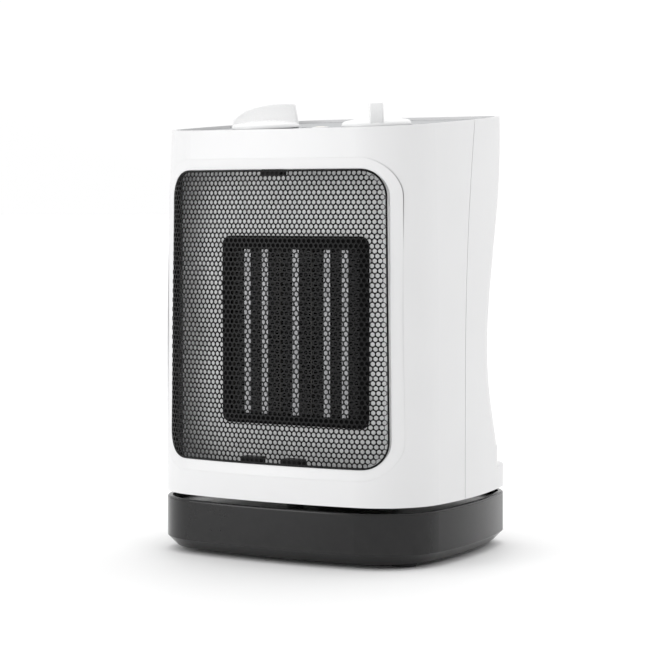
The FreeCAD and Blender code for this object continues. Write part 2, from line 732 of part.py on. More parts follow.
def impeller():
    """Hub and pitched blades, on the motor's axis."""
    hub_radius, tip, depth = size("fan_hub"), size("fan_radius"), size("fan_depth")
    wheel = Part.makeCylinder(hub_radius, depth)
    for index in range(BLADES):
        foot = Vector(0, -size("blade_sheet") / 2, -depth)
        blade = Part.makeBox(tip, size("blade_sheet"), depth * 2, foot)
        blade.rotate(Vector(), Vector(1, 0, 0), size("blade_pitch") + 20)
        blade.translate(Vector(0, 0, depth / 2))
        blade.rotate(Vector(), Vector(0, 0, 1), 360.0 * index / BLADES)
        wheel = wheel.fuse(blade.common(ring_solid(hub_radius - 2, tip, depth)))
    wheel = wheel.cut(Part.makeCylinder(size("motor_shaft"), depth + 2, Vector(0, 0, -1)))
    wheel = wheel.removeSplitter()
    wheel.rotate(Vector(), Vector(1, 0, 0), -90)
    wheel.translate(Vector(0, size("shroud_y") + 3, size("heater_middle")))
    return wheel


def ring_solid(inner, outer, height):
    return Part.makeCylinder(outer, height).cut(Part.makeCylinder(inner, height + 2, Vector(0, 0, -1)))


# ---------- controls ----------

def grip_shape():
    """The grip of a knob: low at one end, rising in a quarter round to an upright end."""
    reach, top, skirt = size("knob_radius") - 0.3, size("knob_height"), size("knob_skirt")
    low = skirt - 1.0
    crest = reach * 0.55
    halfway = Vector(-reach * 0.42, 0, low + (top - low) * 0.80)
    rise = Part.Arc(Vector(-reach, 0, low), halfway, Vector(crest, 0, top))
    fall = Part.Arc(Vector(crest, 0, top), Vector(reach * 0.86, 0, top - 1.0), Vector(reach, 0, top - 4.5))
    floor = [Vector(reach, 0, top - 4.5), Vector(reach, 0, 1), Vector(-reach, 0, 1), Vector(-reach, 0, low)]
    edges = [rise.toShape(), fall.toShape()]
    edges += [Part.LineSegment(a, b).toShape() for a, b in zip(floor, floor[1:])]
    face = Part.Face(Part.Wire(Part.__sortEdges__(edges)))
    face.translate(Vector(0, -size("knob_grip") / 2, 0))
    return face.extrude(Vector(0, size("knob_grip"), 0))


def knob_shape():
    """Domed skirt with a grip across it and a blind hole for the shaft."""
    radius, skirt = size("knob_radius"), size("knob_skirt")
    dome_radius = (radius ** 2 + (skirt - 2) ** 2) / (2 * (skirt - 2))
    dome = Part.makeSphere(dome_radius, Vector(0, 0, skirt - dome_radius))
    disc = Part.makeCylinder(radius, skirt).common(dome)
    within = Part.makeCylinder(radius, size("knob_height") + 1)
    knob = disc.fuse(grip_shape().common(within)).removeSplitter()
    knob.translate(Vector(0, 0, size("knob_lift")))
    return knob.cut(Part.makeCylinder(size("control_shaft"), size("knob_height") * 0.7, Vector(0, 0, -1)))


def make_control(name, side, turn):
    """A housing under the panel with its bush, shaft and knob."""
    x = side * size("knob_x")
    width, depth = size("control_size"), size("control_depth")
    under = -size("panel_sheet")
    housing = Part.makeBox(width, width, depth, Vector(-width / 2, -width / 2, under - depth))
    bush = Part.makeCylinder(size("control_bush"), size("panel_sheet") - 0.2, Vector(0, 0, under))
    bore_radius = size("control_shaft") + size("running")
    bore = Part.makeCylinder(bore_radius, depth + 10, Vector(0, 0, under - depth + 3))
    body = doc.addObject("Part::Feature", name + "_housing")
    body.Shape = housing.fuse(bush).cut(bore)
    body.Placement = panel_place(x)
    keep(body, name)

    shaft = doc.addObject("Part::Cylinder", name + "_shaft_rod")
    bind(shaft, Radius="control_shaft", Height="knob_height * 0.7 + panel_sheet + control_depth / 2 - 1")
    length = size("knob_height") * 0.7 + size("panel_sheet") + size("control_depth") / 2 - 1
    shaft_foot = Vector(0, 0, size("knob_height") * 0.7 - 1 - length)
    shaft.Placement = panel_place(x).multiply(Placement(shaft_foot, Rotation()))
    keep(shaft, name + "_shaft")

    knob = doc.addObject("Part::Feature", name + "_knob_body")
    knob.Shape = knob_shape()
    knob.Placement = panel_place(x, turn)
    keep(knob, name + "_knob")


def make_indicator():
    lens = turned("lens", [("0", "-panel_sheet"), ("lens_radius", "-panel_sheet"),
                           ("lens_radius", "lens_height / 3"), ("lens_radius * 0.7", "lens_height"),
                           ("0", "lens_height")])
    lens.Placement = panel_place(0)
    keep(lens, "indicator_lens")
    under, foot = "-panel_sheet", "-panel_sheet - lamp_length"
    lamp = turned("lamp", [("0", foot), ("lamp_radius", foot), ("lamp_radius", under), ("0", under)])
    lamp.Placement = panel_place(0)
    keep(lamp, "indicator_lamp")


# ---------- body floor and small parts of the body ----------

def make_floor():
    gap = size("swing_gap")
    low = size("track_top") + size("glide_height") + gap
    high = low + size("plate_sheet")
    plate = prism(low, high, size("wall") + size("panel_gap"))
    plate = plate.cut(Part.makeCylinder(size("pivot_radius") + size("running"), 30, Vector(0, 0, low - 10)))
    reach = size("pin_radius") + size("pin_play")
    inner = math.hypot(size("crank_y"), size("crank_throw"))
    outer = size("crank_y") + size("crank_throw")
    slot = Part.makeBox(2 * reach, outer - inner, 30, Vector(-reach, inner, low - 10))
    for y in (inner, outer):
        slot = slot.fuse(Part.makeCylinder(reach, 30, Vector(0, y, low - 10)))
    keep(shaped("body_floor", plate.cut(slot)), "body_floor")


def make_clips():
    """Dark tabs that hold the mesh from behind."""
    width, height, length = size("clip_width"), size("clip_height"), size("clip_length")
    skin = body_mass(size("wall") + size("mesh_gap") + size("mesh_sheet"))
    top, low = size("outlet_high") - height, size("outlet_low")
    side = size("outlet_width") / 2 - height
    middle = size("heater_middle")
    blocks = [Part.makeBox(width, 40, height, Vector(-width / 2, -100 + 8, top))]
    for x in (-width * 1.6, width * 0.6):
        blocks.append(Part.makeBox(width, 40, height, Vector(x, -100 + 8, low)))
    for x in (-side - height, side + height):
        blocks.append(Part.makeBox(height, 60, width * 1.5, Vector(x, -100, middle - width)))
    tabs = []
    for tab in blocks:
        tab = tab.common(skin)
        front = tab.BoundBox.YMin
        tabs.append(tab.common(Part.makeBox(300, length, 400, Vector(-150, front, 0))))
    keep(shaped("mesh_clips", Part.makeCompound(tabs)), "mesh_clips")


def make_shell_screws():
    screws = []
    for x, height, surface in shell_screw_places():
        seat = surface - 4
        head = Part.makeCylinder(size("screw_head"), 2, Vector(x, seat, height), Vector(0, 1, 0))
        shank = Part.makeCylinder(size("screw_radius"), 12, Vector(x, seat - 12, height), Vector(0, 1, 0))
        screws.append(head.fuse(shank))
    keep(shaped("shell_screws", Part.makeCompound(screws)), "shell_screws")


# ---------- base ----------

def base_loft(inset):
    """The base's outline with its bevelled lower edge and rounded rim."""
    low, bevel = size("base_low"), size("base_chamfer")
    rim, round_off = size("base_rim"), size("base_round")
    foot = Part.makeLoft([plan_wire(low, bevel + inset), plan_wire(low + bevel, inset)], True, True)
    wires = []
    for angle in (0, 30, 60, 90):
        turn = math.radians(angle)
        step = round_off * (1 - math.cos(turn))
        wires.append(plan_wire(rim - round_off * (1 - math.sin(turn)), step + inset))
    edge = Part.makeLoft(wires, True, True)
    return foot.fuse([prism(low + bevel, rim - round_off, inset), edge]).removeSplitter()


def make_base():
    wall, deck, sheet_low = size("base_wall"), size("deck_top"), size("deck_top") - size("deck_sheet")
    housing = base_loft(0).cut(prism(deck, deck + 40, wall))
    inner = base_loft(wall).common(Part.makeBox(400, 400, sheet_low, Vector(-200, -200, 0)))
    housing = housing.cut(inner)
    track = ring_solid(size("track_inner"), size("track_outer"), size("track_top") - deck)
    track.translate(Vector(0, 0, deck))
    pivot = Part.makeCylinder(size("pivot_radius"), size("pivot_top") - sheet_low, Vector(0, 0, sheet_low))
    housing = housing.fuse([track, pivot])
    housing = housing.cut(Part.makeCylinder(size("pivot_bore"), 60, Vector(0, 0, sheet_low - 5)))
    drive_hole = Part.makeCylinder(size("drive_hole"), 20, Vector(0, size("crank_y"), sheet_low - 5))
    housing = housing.cut(drive_hole)
    for x, y in base_screw_places():
        low = size("base_low") + size("plate_sheet")
        boss = Part.makeCylinder(size("boss_radius"), sheet_low - low, Vector(x, y, low))
        hole = Part.makeCylinder(size("screw_radius"), size("screw_length"), Vector(x, y, low - 1))
        housing = housing.fuse(boss).cut(hole)
    gland_place = Vector(size("gland_x"), 60, size("gland_z"))
    gland = Part.makeCylinder(size("gland_radius"), 20, gland_place, Vector(0, 1, 0))
    keep(shaped("base_housing", housing.cut(gland).removeSplitter()), "base_housing")


def base_screw_places():
    places = []
    for side in (-1, 1):
        places.append((side * size("base_screw_x"), size("base_screw_y")))
        places.append((side * size("rear_screw_x"), size("rear_screw_y")))
    return places


def make_bottom_plate():
    low = size("base_low")
    inset = size("base_chamfer") + size("base_wall") + size("plate_gap")
    plate = prism(low, low + size("plate_sheet"), inset)
    plate = plate.cut(Part.makeCylinder(size("tip_radius") + size("running"), 20,
                                        Vector(size("tip_x"), size("tip_y"), low - 5)))
    for x, y in base_screw_places():
        plate = plate.cut(Part.makeCylinder(size("screw_radius"), 20, Vector(x, y, low - 5)))
        plate = plate.cut(Part.makeCylinder(size("screw_head") + 0.2, 1.6, Vector(x, y, low - 0.1)))
    keep(shaped("bottom_plate", plate), "bottom_plate")

    screws = []
    for x, y in base_screw_places():
        head = Part.makeCylinder(size("screw_head"), 1.3, Vector(x, y, low + 0.2))
        shank = Part.makeCylinder(size("screw_radius"), size("screw_length") - 1, Vector(x, y, low + 1.5))
        screws.append(head.fuse(shank))
    keep(shaped("base_screws", Part.makeCompound(screws)), "base_screws")


def make_feet():
    feet = []
    for index, (sx, sy) in enumerate((("-foot_x", "foot_y"), ("foot_x", "foot_y"),
                                      ("-rear_foot_x", "rear_foot_y"), ("rear_foot_x", "rear_foot_y"))):
        foot = doc.addObject("Part::Cone", "foot_%d" % index)
        bind(foot, Radius1="foot_radius - 1", Radius2="foot_radius", Height="base_low", x=sx, y=sy, z="0")
        feet.append(foot)
    keep(group("rubber_feet_group", feet), "rubber_feet")


def make_ballast():
    low = "base_low + plate_sheet"
    plate = block("ballast_block", ("-ballast_width / 2", "ballast_width / 2"),
                  ("ballast_y", "ballast_y + ballast_depth"), (low, low + " + ballast_height"))
    keep(plate, "ballast_plate")


def make_swing():
    deck_under = "deck_top - deck_sheet"
    bore = "drive_shaft + running"
    can = turned("drive_can", [(bore, "0"), ("drive_radius", "0"),
                               ("drive_radius", "drive_height"), (bore, "drive_height")])
    bind(can, y="crank_y", z=deck_under + " - drive_height")
    keep(can, "swing_motor")

    shaft_low = deck_under + " - drive_height / 2"
    arm_low = "deck_top + crank_lift"
    shaft = rod("crank_shaft_rod", "drive_shaft", ("0", "crank_y", shaft_low),
                "(%s) - (%s)" % (arm_low, shaft_low))
    keep(shaft, "crank_shaft")
    hub = rod("crank_hub_disc", "crank_hub", ("0", "crank_y", arm_low), "crank_sheet")
    end = rod("crank_end_disc", "crank_end", ("0", "crank_y + crank_throw", arm_low), "crank_sheet")
    arm = block("crank_bar", ("-crank_end", "crank_end"), ("crank_y", "crank_y + crank_throw"),
                (arm_low, arm_low + " + crank_sheet"))
    keep(fuse("crank_arm_body", hub, end, arm), "crank_arm")
    pin_low = arm_low + " + crank_sheet"
    pin = rod("crank_pin_rod", "pin_radius", ("0", "crank_y + crank_throw", pin_low),
              "track_top + glide_height + plate_sheet + 2 - (%s)" % pin_low)
    keep(pin, "crank_pin")

    glide = turned("glide", [("track_inner", "0"), ("track_outer", "0"), ("track_outer", "glide_height"),
                             ("track_inner", "glide_height")])
    bind(glide, z="track_top")
    keep(glide, "glide_ring")
    washer = turned("washer", [("pivot_radius", "0"), ("retainer_radius", "0"),
                               ("retainer_radius", "retainer_height"), ("pivot_radius", "retainer_height")])
    bind(washer, z="track_top + glide_height + plate_sheet + 2 * swing_gap")
    keep(washer, "pivot_retainer")


def make_tip_switch():
    collar_low = "base_low + plate_sheet + tip_travel + 0.3"
    plunger = turned("plunger", [
        ("0", "0"), ("tip_radius", "0"), ("tip_radius", collar_low), ("tip_flange", collar_low),
        ("tip_flange", collar_low + " + 1.2"), ("tip_stem", collar_low + " + 1.2"),
        ("tip_stem", "deck_top - deck_sheet - 1"), ("0", "deck_top - deck_sheet - 1"),
    ])
    bind(plunger, x="tip_x", y="tip_y")
    keep(plunger, "tip_plunger")

    top = "deck_top - deck_sheet"
    case = block("tip_case", ("tip_x - switch_width / 2", "tip_x + switch_width / 2"),
                 ("tip_y - switch_depth / 2", "tip_y + switch_depth / 2"), (top + " - switch_height", top))
    start = ("tip_x", "tip_y", top + " - switch_height - 1")
    bore = rod("tip_bore", "tip_stem + running", start, "switch_height + 2")
    keep(cut("tip_switch_body", case, bore), "tip_switch")

    low = size("base_low") + size("plate_sheet") + size("tip_travel") + 1.5 + 0.05
    high = size("deck_top") - size("deck_sheet") - size("switch_height") - 0.05
    wire = size("spring_wire")
    helix = Part.makeHelix((high - low - wire) / 4, high - low - wire, size("spring_radius"))
    section = Part.Wire(Part.makeCircle(wire / 2, Vector(size("spring_radius"), 0, 0), Vector(0, 1, 0)))
    coil = Part.Wire(helix).makePipeShell([section], True, True)
    spring = doc.addObject("Part::Feature", "plunger_coil")
    spring.Shape = coil
    spring.Placement = Placement(Vector(size("tip_x"), size("tip_y"), low + wire / 2), Rotation())
    keep(spring, "plunger_spring")


def make_supply():
    surface = "body_depth / 2"
    neck, halfway = "gland_radius - 1.5", "gland_length / 2"
    gland = turned("gland", [("gland_bore", "0"), (neck, "0"), (neck, halfway), ("gland_radius", halfway),
                             ("gland_radius", "gland_length"), ("gland_bore", "gland_length")])
    gland.Placement = Placement(Vector(), TURN["y"])
    bow = "(rear_bow - sqrt(rear_bow ^ 2 - (gland_x + gland_radius) ^ 2))"
    bind(gland, x="gland_x", y="%s - %s - gland_length" % (surface, bow), z="gland_z")
    keep(gland, "cord_gland")

    low = "base_low + plate_sheet"
    block_x = ("gland_x - terminal_width / 2", "gland_x + terminal_width / 2")
    back = "crank_y - drive_radius - 2"
    board = block("terminal_case", block_x, (back + " - terminal_depth", back),
                  (low, low + " + terminal_height"))
    keep(board, "terminal_block")


def main():
    make_shells()
    make_intake_grille()
    make_mesh()
    make_panel()
    make_baffle()
    make_heater()
    make_duct()
    make_fan()
    make_control("thermostat", 1, size("right_turn"))
    make_control("mode_switch", -1, size("left_turn"))
    make_indicator()
    make_floor()
    make_clips()
    make_shell_screws()
    make_base()
    make_bottom_plate()
    make_feet()
    make_ballast()
    make_swing()
    make_tip_switch()
    make_supply()
    doc.recompute()
    check()
    os.makedirs("parts", exist_ok=True)
    for part in PARTS:
        part.Shape.exportStep("parts/%s.step" % part.Label)
    print(len(PARTS), "parts written")


def check():
    """Stops the build if any object failed, before anything is written."""
    for item in doc.Objects:
        if "Invalid" in item.State or "Error" in item.State:
            raise RuntimeError("%s did not recompute: %s" % (item.Label, item.State))
    for part in PARTS:
        if part.Shape.isNull() or not part.Shape.isValid():
            raise RuntimeError("%s has no valid shape" % part.Label)
        print("%-20s %d solids %10.0f mm3" % (part.Label, len(part.Shape.Solids), part.Shape.Volume))


main()
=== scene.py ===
import math

import bmesh
import bpy
from bpy.props import FloatProperty, FloatVectorProperty, PointerProperty
from mathutils import Matrix, Vector


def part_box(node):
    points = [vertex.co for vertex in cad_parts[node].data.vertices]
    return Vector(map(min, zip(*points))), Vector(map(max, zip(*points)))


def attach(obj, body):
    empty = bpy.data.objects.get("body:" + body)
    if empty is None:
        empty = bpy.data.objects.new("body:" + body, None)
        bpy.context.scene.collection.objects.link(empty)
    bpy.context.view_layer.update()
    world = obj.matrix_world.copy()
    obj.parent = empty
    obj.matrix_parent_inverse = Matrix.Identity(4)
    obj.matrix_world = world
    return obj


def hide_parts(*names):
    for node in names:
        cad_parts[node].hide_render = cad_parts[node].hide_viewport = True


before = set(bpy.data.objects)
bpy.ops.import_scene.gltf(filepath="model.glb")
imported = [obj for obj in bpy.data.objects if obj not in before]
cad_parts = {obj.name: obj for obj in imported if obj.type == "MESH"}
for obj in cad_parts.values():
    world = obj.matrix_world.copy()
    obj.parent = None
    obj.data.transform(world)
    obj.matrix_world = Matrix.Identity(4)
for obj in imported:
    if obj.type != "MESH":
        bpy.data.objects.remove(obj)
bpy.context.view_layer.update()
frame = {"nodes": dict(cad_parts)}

bl_info = {
    "name": "Ceramic Heater Finish",
    "version": (1, 0, 0),
    "blender": (4, 5, 0),
    "location": "3D View > Sidebar > Heater",
    "description": "Visible pieces and finishes of a ceramic tower heater around its packed frame",
    "category": "Object",
}

MM = 0.001
SHARP = math.radians(30)


# ---------- sizes and colours that a user would change ----------

def length(label, about, value):
    """A size, given in millimetres."""
    return FloatProperty(name=label, description=about, default=value * MM, unit="LENGTH")


def tint(label, about, value):
    """A plain colour."""
    return FloatVectorProperty(name=label, description=about, subtype="COLOR", size=3, default=value)


class HeaterSizes(bpy.types.PropertyGroup):
    body_width: length("Body width", "Widest point, side to side", 174)
    body_depth: length("Body depth", "Front to back at the foot of the body", 152)
    front_bow: length("Front bow", "Radius of the bowed front", 371)
    side_bow: length("Side bow", "Radius of the bowed sides", 254)
    front_corner: length("Front corner", "Radius of the front corners", 38)
    widest_y: length("Widest place", "Where the sides are widest", -16.6)
    rim_front: length("Front rim", "Height of the rim at the front", 235.2)
    rim_slope: FloatProperty(name="Rim slope", description="How the top rises to the back",
                             default=math.radians(4.35), unit="ROTATION")
    top_taper: length("Top taper", "How far the front leans in at the rim", 2.7)
    taper_start: length("Taper start", "Height where the lean begins", 123)
    outlet_width: length("Outlet width", "Width of the opening in the front", 143)
    outlet_low: length("Outlet low", "Lower edge of the opening", 53.4)
    outlet_high: length("Outlet high", "Upper edge of the opening", 213.8)
    outlet_corner: length("Outlet corner", "Corner radius of the opening", 15.2)
    outlet_narrow: length("Outlet narrowing", "How much nearer the middle each side is at the top", 1.3)
    bezel: length("Bezel", "Width of the sloped border round the opening", 5.9)
    bezel_depth: length("Bezel depth", "How far the border slopes in", 1.5)
    mesh_pitch: length("Mesh pitch", "From hole to hole", 3.0)
    mesh_hole: length("Mesh hole", "Radius of one hole", 1.2)
    mesh_sheet: length("Mesh sheet", "Thickness of the mesh", 0.32)
    mesh_border: length("Mesh border", "Solid band round the holes", 1.5)
    mesh_inset: length("Mesh inset", "From the front's surface to the mesh", 0.3)
    mesh_roll: length("Mesh roll", "Width of the band where the mesh turns back", 6)
    mesh_sink: length("Mesh sink", "How far the mesh's edge lies behind its middle", 0.6)
    knob_x: length("Knob place", "Knobs from the centre line", 36.6)
    knob_y: length("Knob depth", "Axis of the knobs, front to back", -19.8)
    knob_radius: length("Knob radius", "Skirt of a knob", 19.3)
    knob_skirt: length("Knob skirt", "Height of the skirt", 4.8)
    knob_height: length("Knob height", "Height of the whole knob", 14.0)
    knob_grip: length("Knob grip", "Thickness of the grip", 7.9)
    knob_lift: length("Knob lift", "Between the panel and a knob", 0.4)
    panel_recess: length("Panel recess", "Panel below the rim", 1.6)
    left_turn: FloatProperty(name="Left knob", description="How far the left knob is turned",
                             default=math.radians(31.6), unit="ROTATION")
    right_turn: FloatProperty(name="Right knob", description="How far the right knob is turned",
                              default=math.radians(-58.4), unit="ROTATION")
    fin_pitch: length("Fin pitch", "From fold to fold of the fins", 1.55)
    fin_sheet: length("Fin sheet", "Thickness of the fin foil", 0.25)


class HeaterColours(bpy.types.PropertyGroup):
    white: tint("White", "Moulded shells", (0.72, 0.72, 0.724))
    knobs: tint("Knobs", "Paler white of the knobs", (0.93, 0.93, 0.93))
    panel: tint("Panel", "Silver grey control panel", (0.30, 0.31, 0.32))
    charcoal: tint("Charcoal", "Coated mesh", (0.005, 0.005, 0.0054))
    base: tint("Base", "Black base", (0.007, 0.007, 0.0075))
    baffle: tint("Baffle", "Light plate behind the mesh", (0.95, 0.95, 0.955))
    frame: tint("Heater frame", "Black heater frame", (0.002, 0.002, 0.0022))
    # The fins are given a near-black colour, far darker than the bare metal of the bars.
    fins: tint("Fins", "Darkened fins", (0.045, 0.045, 0.047))
    metal: tint("Metal", "Bare aluminium and steel", (0.36, 0.36, 0.37))


class HeaterStudio(bpy.types.PropertyGroup):
    azimuth: FloatProperty(name="Azimuth", description="Camera round the heater, from straight in front",
                           default=math.radians(31.61), unit="ROTATION")
    distance: length("Distance", "Camera from the heater's upright axis", 1284)
    height: length("Height", "Camera above the floor", 191.9)
    aside: length("Aside", "Camera to the left of the axis", 2.1)
    pitch: FloatProperty(name="Pitch", description="How far the camera looks down",
                         default=math.radians(1.6), unit="ROTATION")
    lens: FloatProperty(name="Lens", description="Focal length in millimetres", default=121.16)
    shift: FloatProperty(name="Shift", description="Vertical shift of the lens", default=-0.093)


# ---------- working by hand ----------

def rest():
    """Object mode with nothing selected."""
    if bpy.context.mode != "OBJECT":
        bpy.ops.object.mode_set(mode="OBJECT")
    bpy.ops.object.select_all(action="DESELECT")


def take(*things):
    """Selects these objects and nothing else."""
    rest()
    for thing in things:
        thing.select_set(True)
    bpy.context.view_layer.objects.active = things[0]


def named(name):
    """Gives the new active object its name."""
    thing = bpy.context.object
    thing.name = name
    thing.data.name = name
    return thing


def edit(thing, kind="VERT"):
    """Edit mode on one object with nothing selected."""
    take(thing)
    bpy.ops.object.mode_set(mode="EDIT")
    bpy.ops.mesh.select_mode(type=kind)
    bpy.ops.mesh.select_all(action="DESELECT")


def pick(thing, test):
    """Selects the faces whose middle passes a test."""
    edit(thing, "FACE")
    mesh = bmesh.from_edit_mesh(thing.data)
    for face in mesh.faces:
        face.select_set(bool(test(face.calc_center_median())))
    mesh.select_flush_mode()
    bmesh.update_edit_mesh(thing.data)


def modify(thing, kind, **settings):
    """Adds a modifier and applies it."""
    take(thing)
    bpy.ops.object.modifier_add(type=kind)
    modifier = thing.modifiers[-1]
    for key, value in settings.items():
        setattr(modifier, key, value)
    bpy.ops.object.modifier_apply(modifier=modifier.name)


def repeat(thing, count, step, **settings):
    """Copies of the mesh in a row, one step apart."""
    modify(thing, "ARRAY", count=count, use_relative_offset=False, use_constant_offset=True,
           constant_offset_displace=step, **settings)


def settle(thing):
    """Puts the object's place into its mesh."""
    take(thing)
    bpy.ops.object.transform_apply(location=True, rotation=True, scale=True)


def tidy(thing, angle=SHARP):
    """Merges doubles, turns faces outwards and smooths what is not sharp."""
    edit(thing)
    bpy.ops.mesh.select_all(action="SELECT")
    bpy.ops.mesh.remove_doubles(threshold=0.004 * MM)
    bpy.ops.mesh.normals_make_consistent(inside=False)
    rest()
    take(thing)
    bpy.ops.object.shade_smooth_by_angle(angle=angle)
    rest()


def trace(name, points):
    """A chain of edges drawn point by point."""
    rest()
    bpy.ops.mesh.primitive_plane_add(size=MM)
    thing = named(name)
    edit(thing)
    bpy.ops.mesh.select_all(action="SELECT")
    bpy.ops.mesh.merge(type="CENTER")
    bpy.ops.mesh.select_all(action="SELECT")
    bpy.ops.transform.translate(value=Vector(points[0]))
    for before, after in zip(points, points[1:]):
        step = Vector(after) - Vector(before)
        bpy.ops.mesh.extrude_region_move(TRANSFORM_OT_translate={"value": step})
    return thing


def turn(name, section, steps=64):
    """A shape spun about Z from its half section, given as (radius, height)."""
    thing = trace(name, [(radius, 0, height) for radius, height in section])
    bpy.ops.mesh.select_all(action="SELECT")
    bpy.ops.mesh.spin(steps=steps, angle=2 * math.pi, center=(0, 0, 0), axis=(0, 0, 1))
    rest()
    tidy(thing)
    return thing


def copy_of(thing, name):
    """A second piece with its own mesh."""
    twin = thing.copy()
    twin.data = thing.data.copy()
    twin.name = name
    twin.data.name = name
    bpy.context.scene.collection.objects.link(twin)
    return twin


def join(name, things):
    take(*things)
    bpy.ops.object.join()
    return named(name)


def reshape(thing, rule):
    """Moves each vertex to where a rule puts it."""
    for vertex in thing.data.vertices:
        vertex.co = rule(vertex.co)
    thing.data.update()


def quarter(centre, radius, start, end, count):
    """Points along a circular arc, from one angle to another, in degrees."""
    for index in range(count + 1):
        angle = math.radians(start + (end - start) * index / count)
        yield centre[0] + radius * math.cos(angle), centre[1] + radius * math.sin(angle)


def sizes():
    return bpy.context.scene.heater_sizes


def colours():
    return bpy.context.scene.heater_colours


# ---------- the bowed front that bezel and mesh follow ----------

class Front:
    """The front of the plan outline: a shallow bow between two corner arcs."""

    def __init__(self, spec):
        self.spec = spec
        half_depth = spec.body_depth / 2
        self.bow = spec.front_bow
        self.corner = spec.front_corner
        self.bow_centre = Vector((0, self.bow - half_depth))
        side_centre = Vector((spec.body_width / 2 - spec.side_bow, spec.widest_y))
        gap = side_centre - self.bow_centre
        near, far = self.bow - self.corner, spec.side_bow - self.corner
        along = (gap.length_squared + near ** 2 - far ** 2) / (2 * gap.length)
        across = math.sqrt(near ** 2 - along ** 2)
        foot = self.bow_centre + gap.normalized() * along
        side = Vector((-gap.y, gap.x)).normalized() * across
        self.corner_centre = max(foot + side, foot - side, key=lambda point: point.x)
        to_corner = self.corner_centre - self.bow_centre
        self.turn = math.atan2(to_corner.x, -to_corner.y)

    def lean(self, height):
        """How far the front leans in at a height."""
        share = (height - self.spec.taper_start) / (self.spec.rim_front - self.spec.taper_start)
        return self.spec.top_taper * max(share, 0) ** 1.5

    def y_at(self, x, inset):
        """Y of the outline moved in by an inset, at a place across the front."""
        if abs(x) <= (self.bow - inset) * math.sin(self.turn):
            return self.bow_centre.y - math.sqrt((self.bow - inset) ** 2 - x ** 2)
        aside = abs(x) - self.corner_centre.x
        return self.corner_centre.y - math.sqrt((self.corner - inset) ** 2 - aside ** 2)

    def flat_to_bowed(self, point, inset):
        """Wraps a flat sheet: x runs along the outline, y is depth behind it and z is height."""
        depth = inset + point.y + self.lean(point.z)
        bow_length = (self.bow - inset) * self.turn
        run = abs(point.x)
        if run <= bow_length:
            centre, radius, angle = self.bow_centre, self.bow, run / (self.bow - inset)
        else:
            centre, radius = self.corner_centre, self.corner
            angle = self.turn + (run - bow_length) / (self.corner - inset)
        x = centre.x + (radius - depth) * math.sin(angle)
        y = centre.y - (radius - depth) * math.cos(angle)
        return Vector((math.copysign(x, point.x), y, point.z))

    def narrowed(self, x, height):
        """Moves a place on an even opening to where the narrowing opening has it."""
        spec = self.spec
        low, high = spec.outlet_low + spec.outlet_corner, spec.outlet_high - spec.outlet_corner
        rise = min(max((height - low) / (high - low), 0), 1)
        aside = min(abs(x) / (spec.outlet_width / 2 - spec.outlet_corner), 1)
        return x - math.copysign(spec.outlet_narrow * rise * aside, x)

    def run_at(self, x, inset):
        """Length along the outline from the middle to a place across the front."""
        radius = self.bow - inset
        if x <= radius * math.sin(self.turn):
            return radius * math.asin(x / radius)
        inner = self.corner - inset
        return radius * self.turn + inner * (math.asin((x - self.corner_centre.x) / inner) - self.turn)


def rounded_plate(name, half, low, high, corner, segments=10):
    """A flat round-cornered face in XZ that looks to the front."""
    rest()
    middle = (0, 0, (low + high) / 2)
    bpy.ops.mesh.primitive_plane_add(size=1, location=middle, rotation=(math.pi / 2, 0, 0))
    thing = named(name)
    thing.scale = (2 * half, high - low, 1)
    settle(thing)
    edit(thing)
    bpy.ops.mesh.select_all(action="SELECT")
    bpy.ops.mesh.bevel(offset=corner, offset_type="OFFSET", segments=segments, affect="VERTICES")
    return thing


def inset_rings(thing, rings, back=0.0):
    """Turns a plate into a ring: draws it forward off its back, insets it in steps of (width, depth
    behind the last), drops the middle and closes the back."""
    if back:
        bpy.ops.mesh.extrude_region_move(TRANSFORM_OT_translate={"value": (0, -back, 0)})
        pick(thing, lambda middle: middle.y > -back / 4)
        bpy.ops.mesh.delete(type="FACE")
        pick(thing, lambda middle: middle.y < -back * 3 / 4)
    bpy.ops.mesh.select_mode(type="FACE")
    if not back:
        bpy.ops.mesh.select_all(action="SELECT")
    for width, depth in rings:
        if width:
            bpy.ops.mesh.inset(thickness=width, depth=-depth, use_even_offset=True)
        else:
            bpy.ops.mesh.extrude_region_move(TRANSFORM_OT_translate={"value": (0, depth, 0)})
    bpy.ops.mesh.delete(type="FACE")
    bpy.ops.mesh.select_mode(type="EDGE")
    bpy.ops.mesh.select_all(action="DESELECT")
    bpy.ops.mesh.select_non_manifold()
    bpy.ops.mesh.bridge_edge_loops()
    rest()


def slice_up(thing, axis, step):
    """Cuts the mesh across at even steps, so that it can bend."""
    low = min(vertex.co[axis] for vertex in thing.data.vertices)
    high = max(vertex.co[axis] for vertex in thing.data.vertices)
    count = int((high - low) / step)
    normal = Vector((0, 0, 0))
    normal[axis] = 1
    edit(thing)
    for index in range(1, count + 1):
        level = low + (high - low) * index / (count + 1)
        bpy.ops.mesh.select_all(action="SELECT")
        bpy.ops.mesh.bisect(plane_co=normal * level, plane_no=normal)
    rest()


# ---------- shared effects ----------

def node(tree, kind, settings=(), **inputs):
    """A shader node with its settings and unlinked inputs."""
    made = tree.nodes.new(kind)
    for key, value in dict(settings).items():
        setattr(made, key, value)
    for key, value in inputs.items():
        made.inputs[key.replace("_", " ")].default_value = value
    return made


def effect(name, takes, gives):
    """An empty node group with named inputs and outputs."""
    tree = bpy.data.node_groups.new(name, "ShaderNodeTree")
    for label, kind, value in takes:
        socket = tree.interface.new_socket(label, in_out="INPUT", socket_type=kind)
        if value is not None:
            socket.default_value = value
    for label, kind in gives:
        tree.interface.new_socket(label, in_out="OUTPUT", socket_type=kind)
    return tree, tree.nodes.new("NodeGroupInput"), tree.nodes.new("NodeGroupOutput")


VECTOR, NUMBER = "NodeSocketVector", "NodeSocketFloat"
MIX_SHARE, MIX_A, MIX_B, MIX_OUT = 0, 6, 7, 2      # the colour sockets of a Mix node


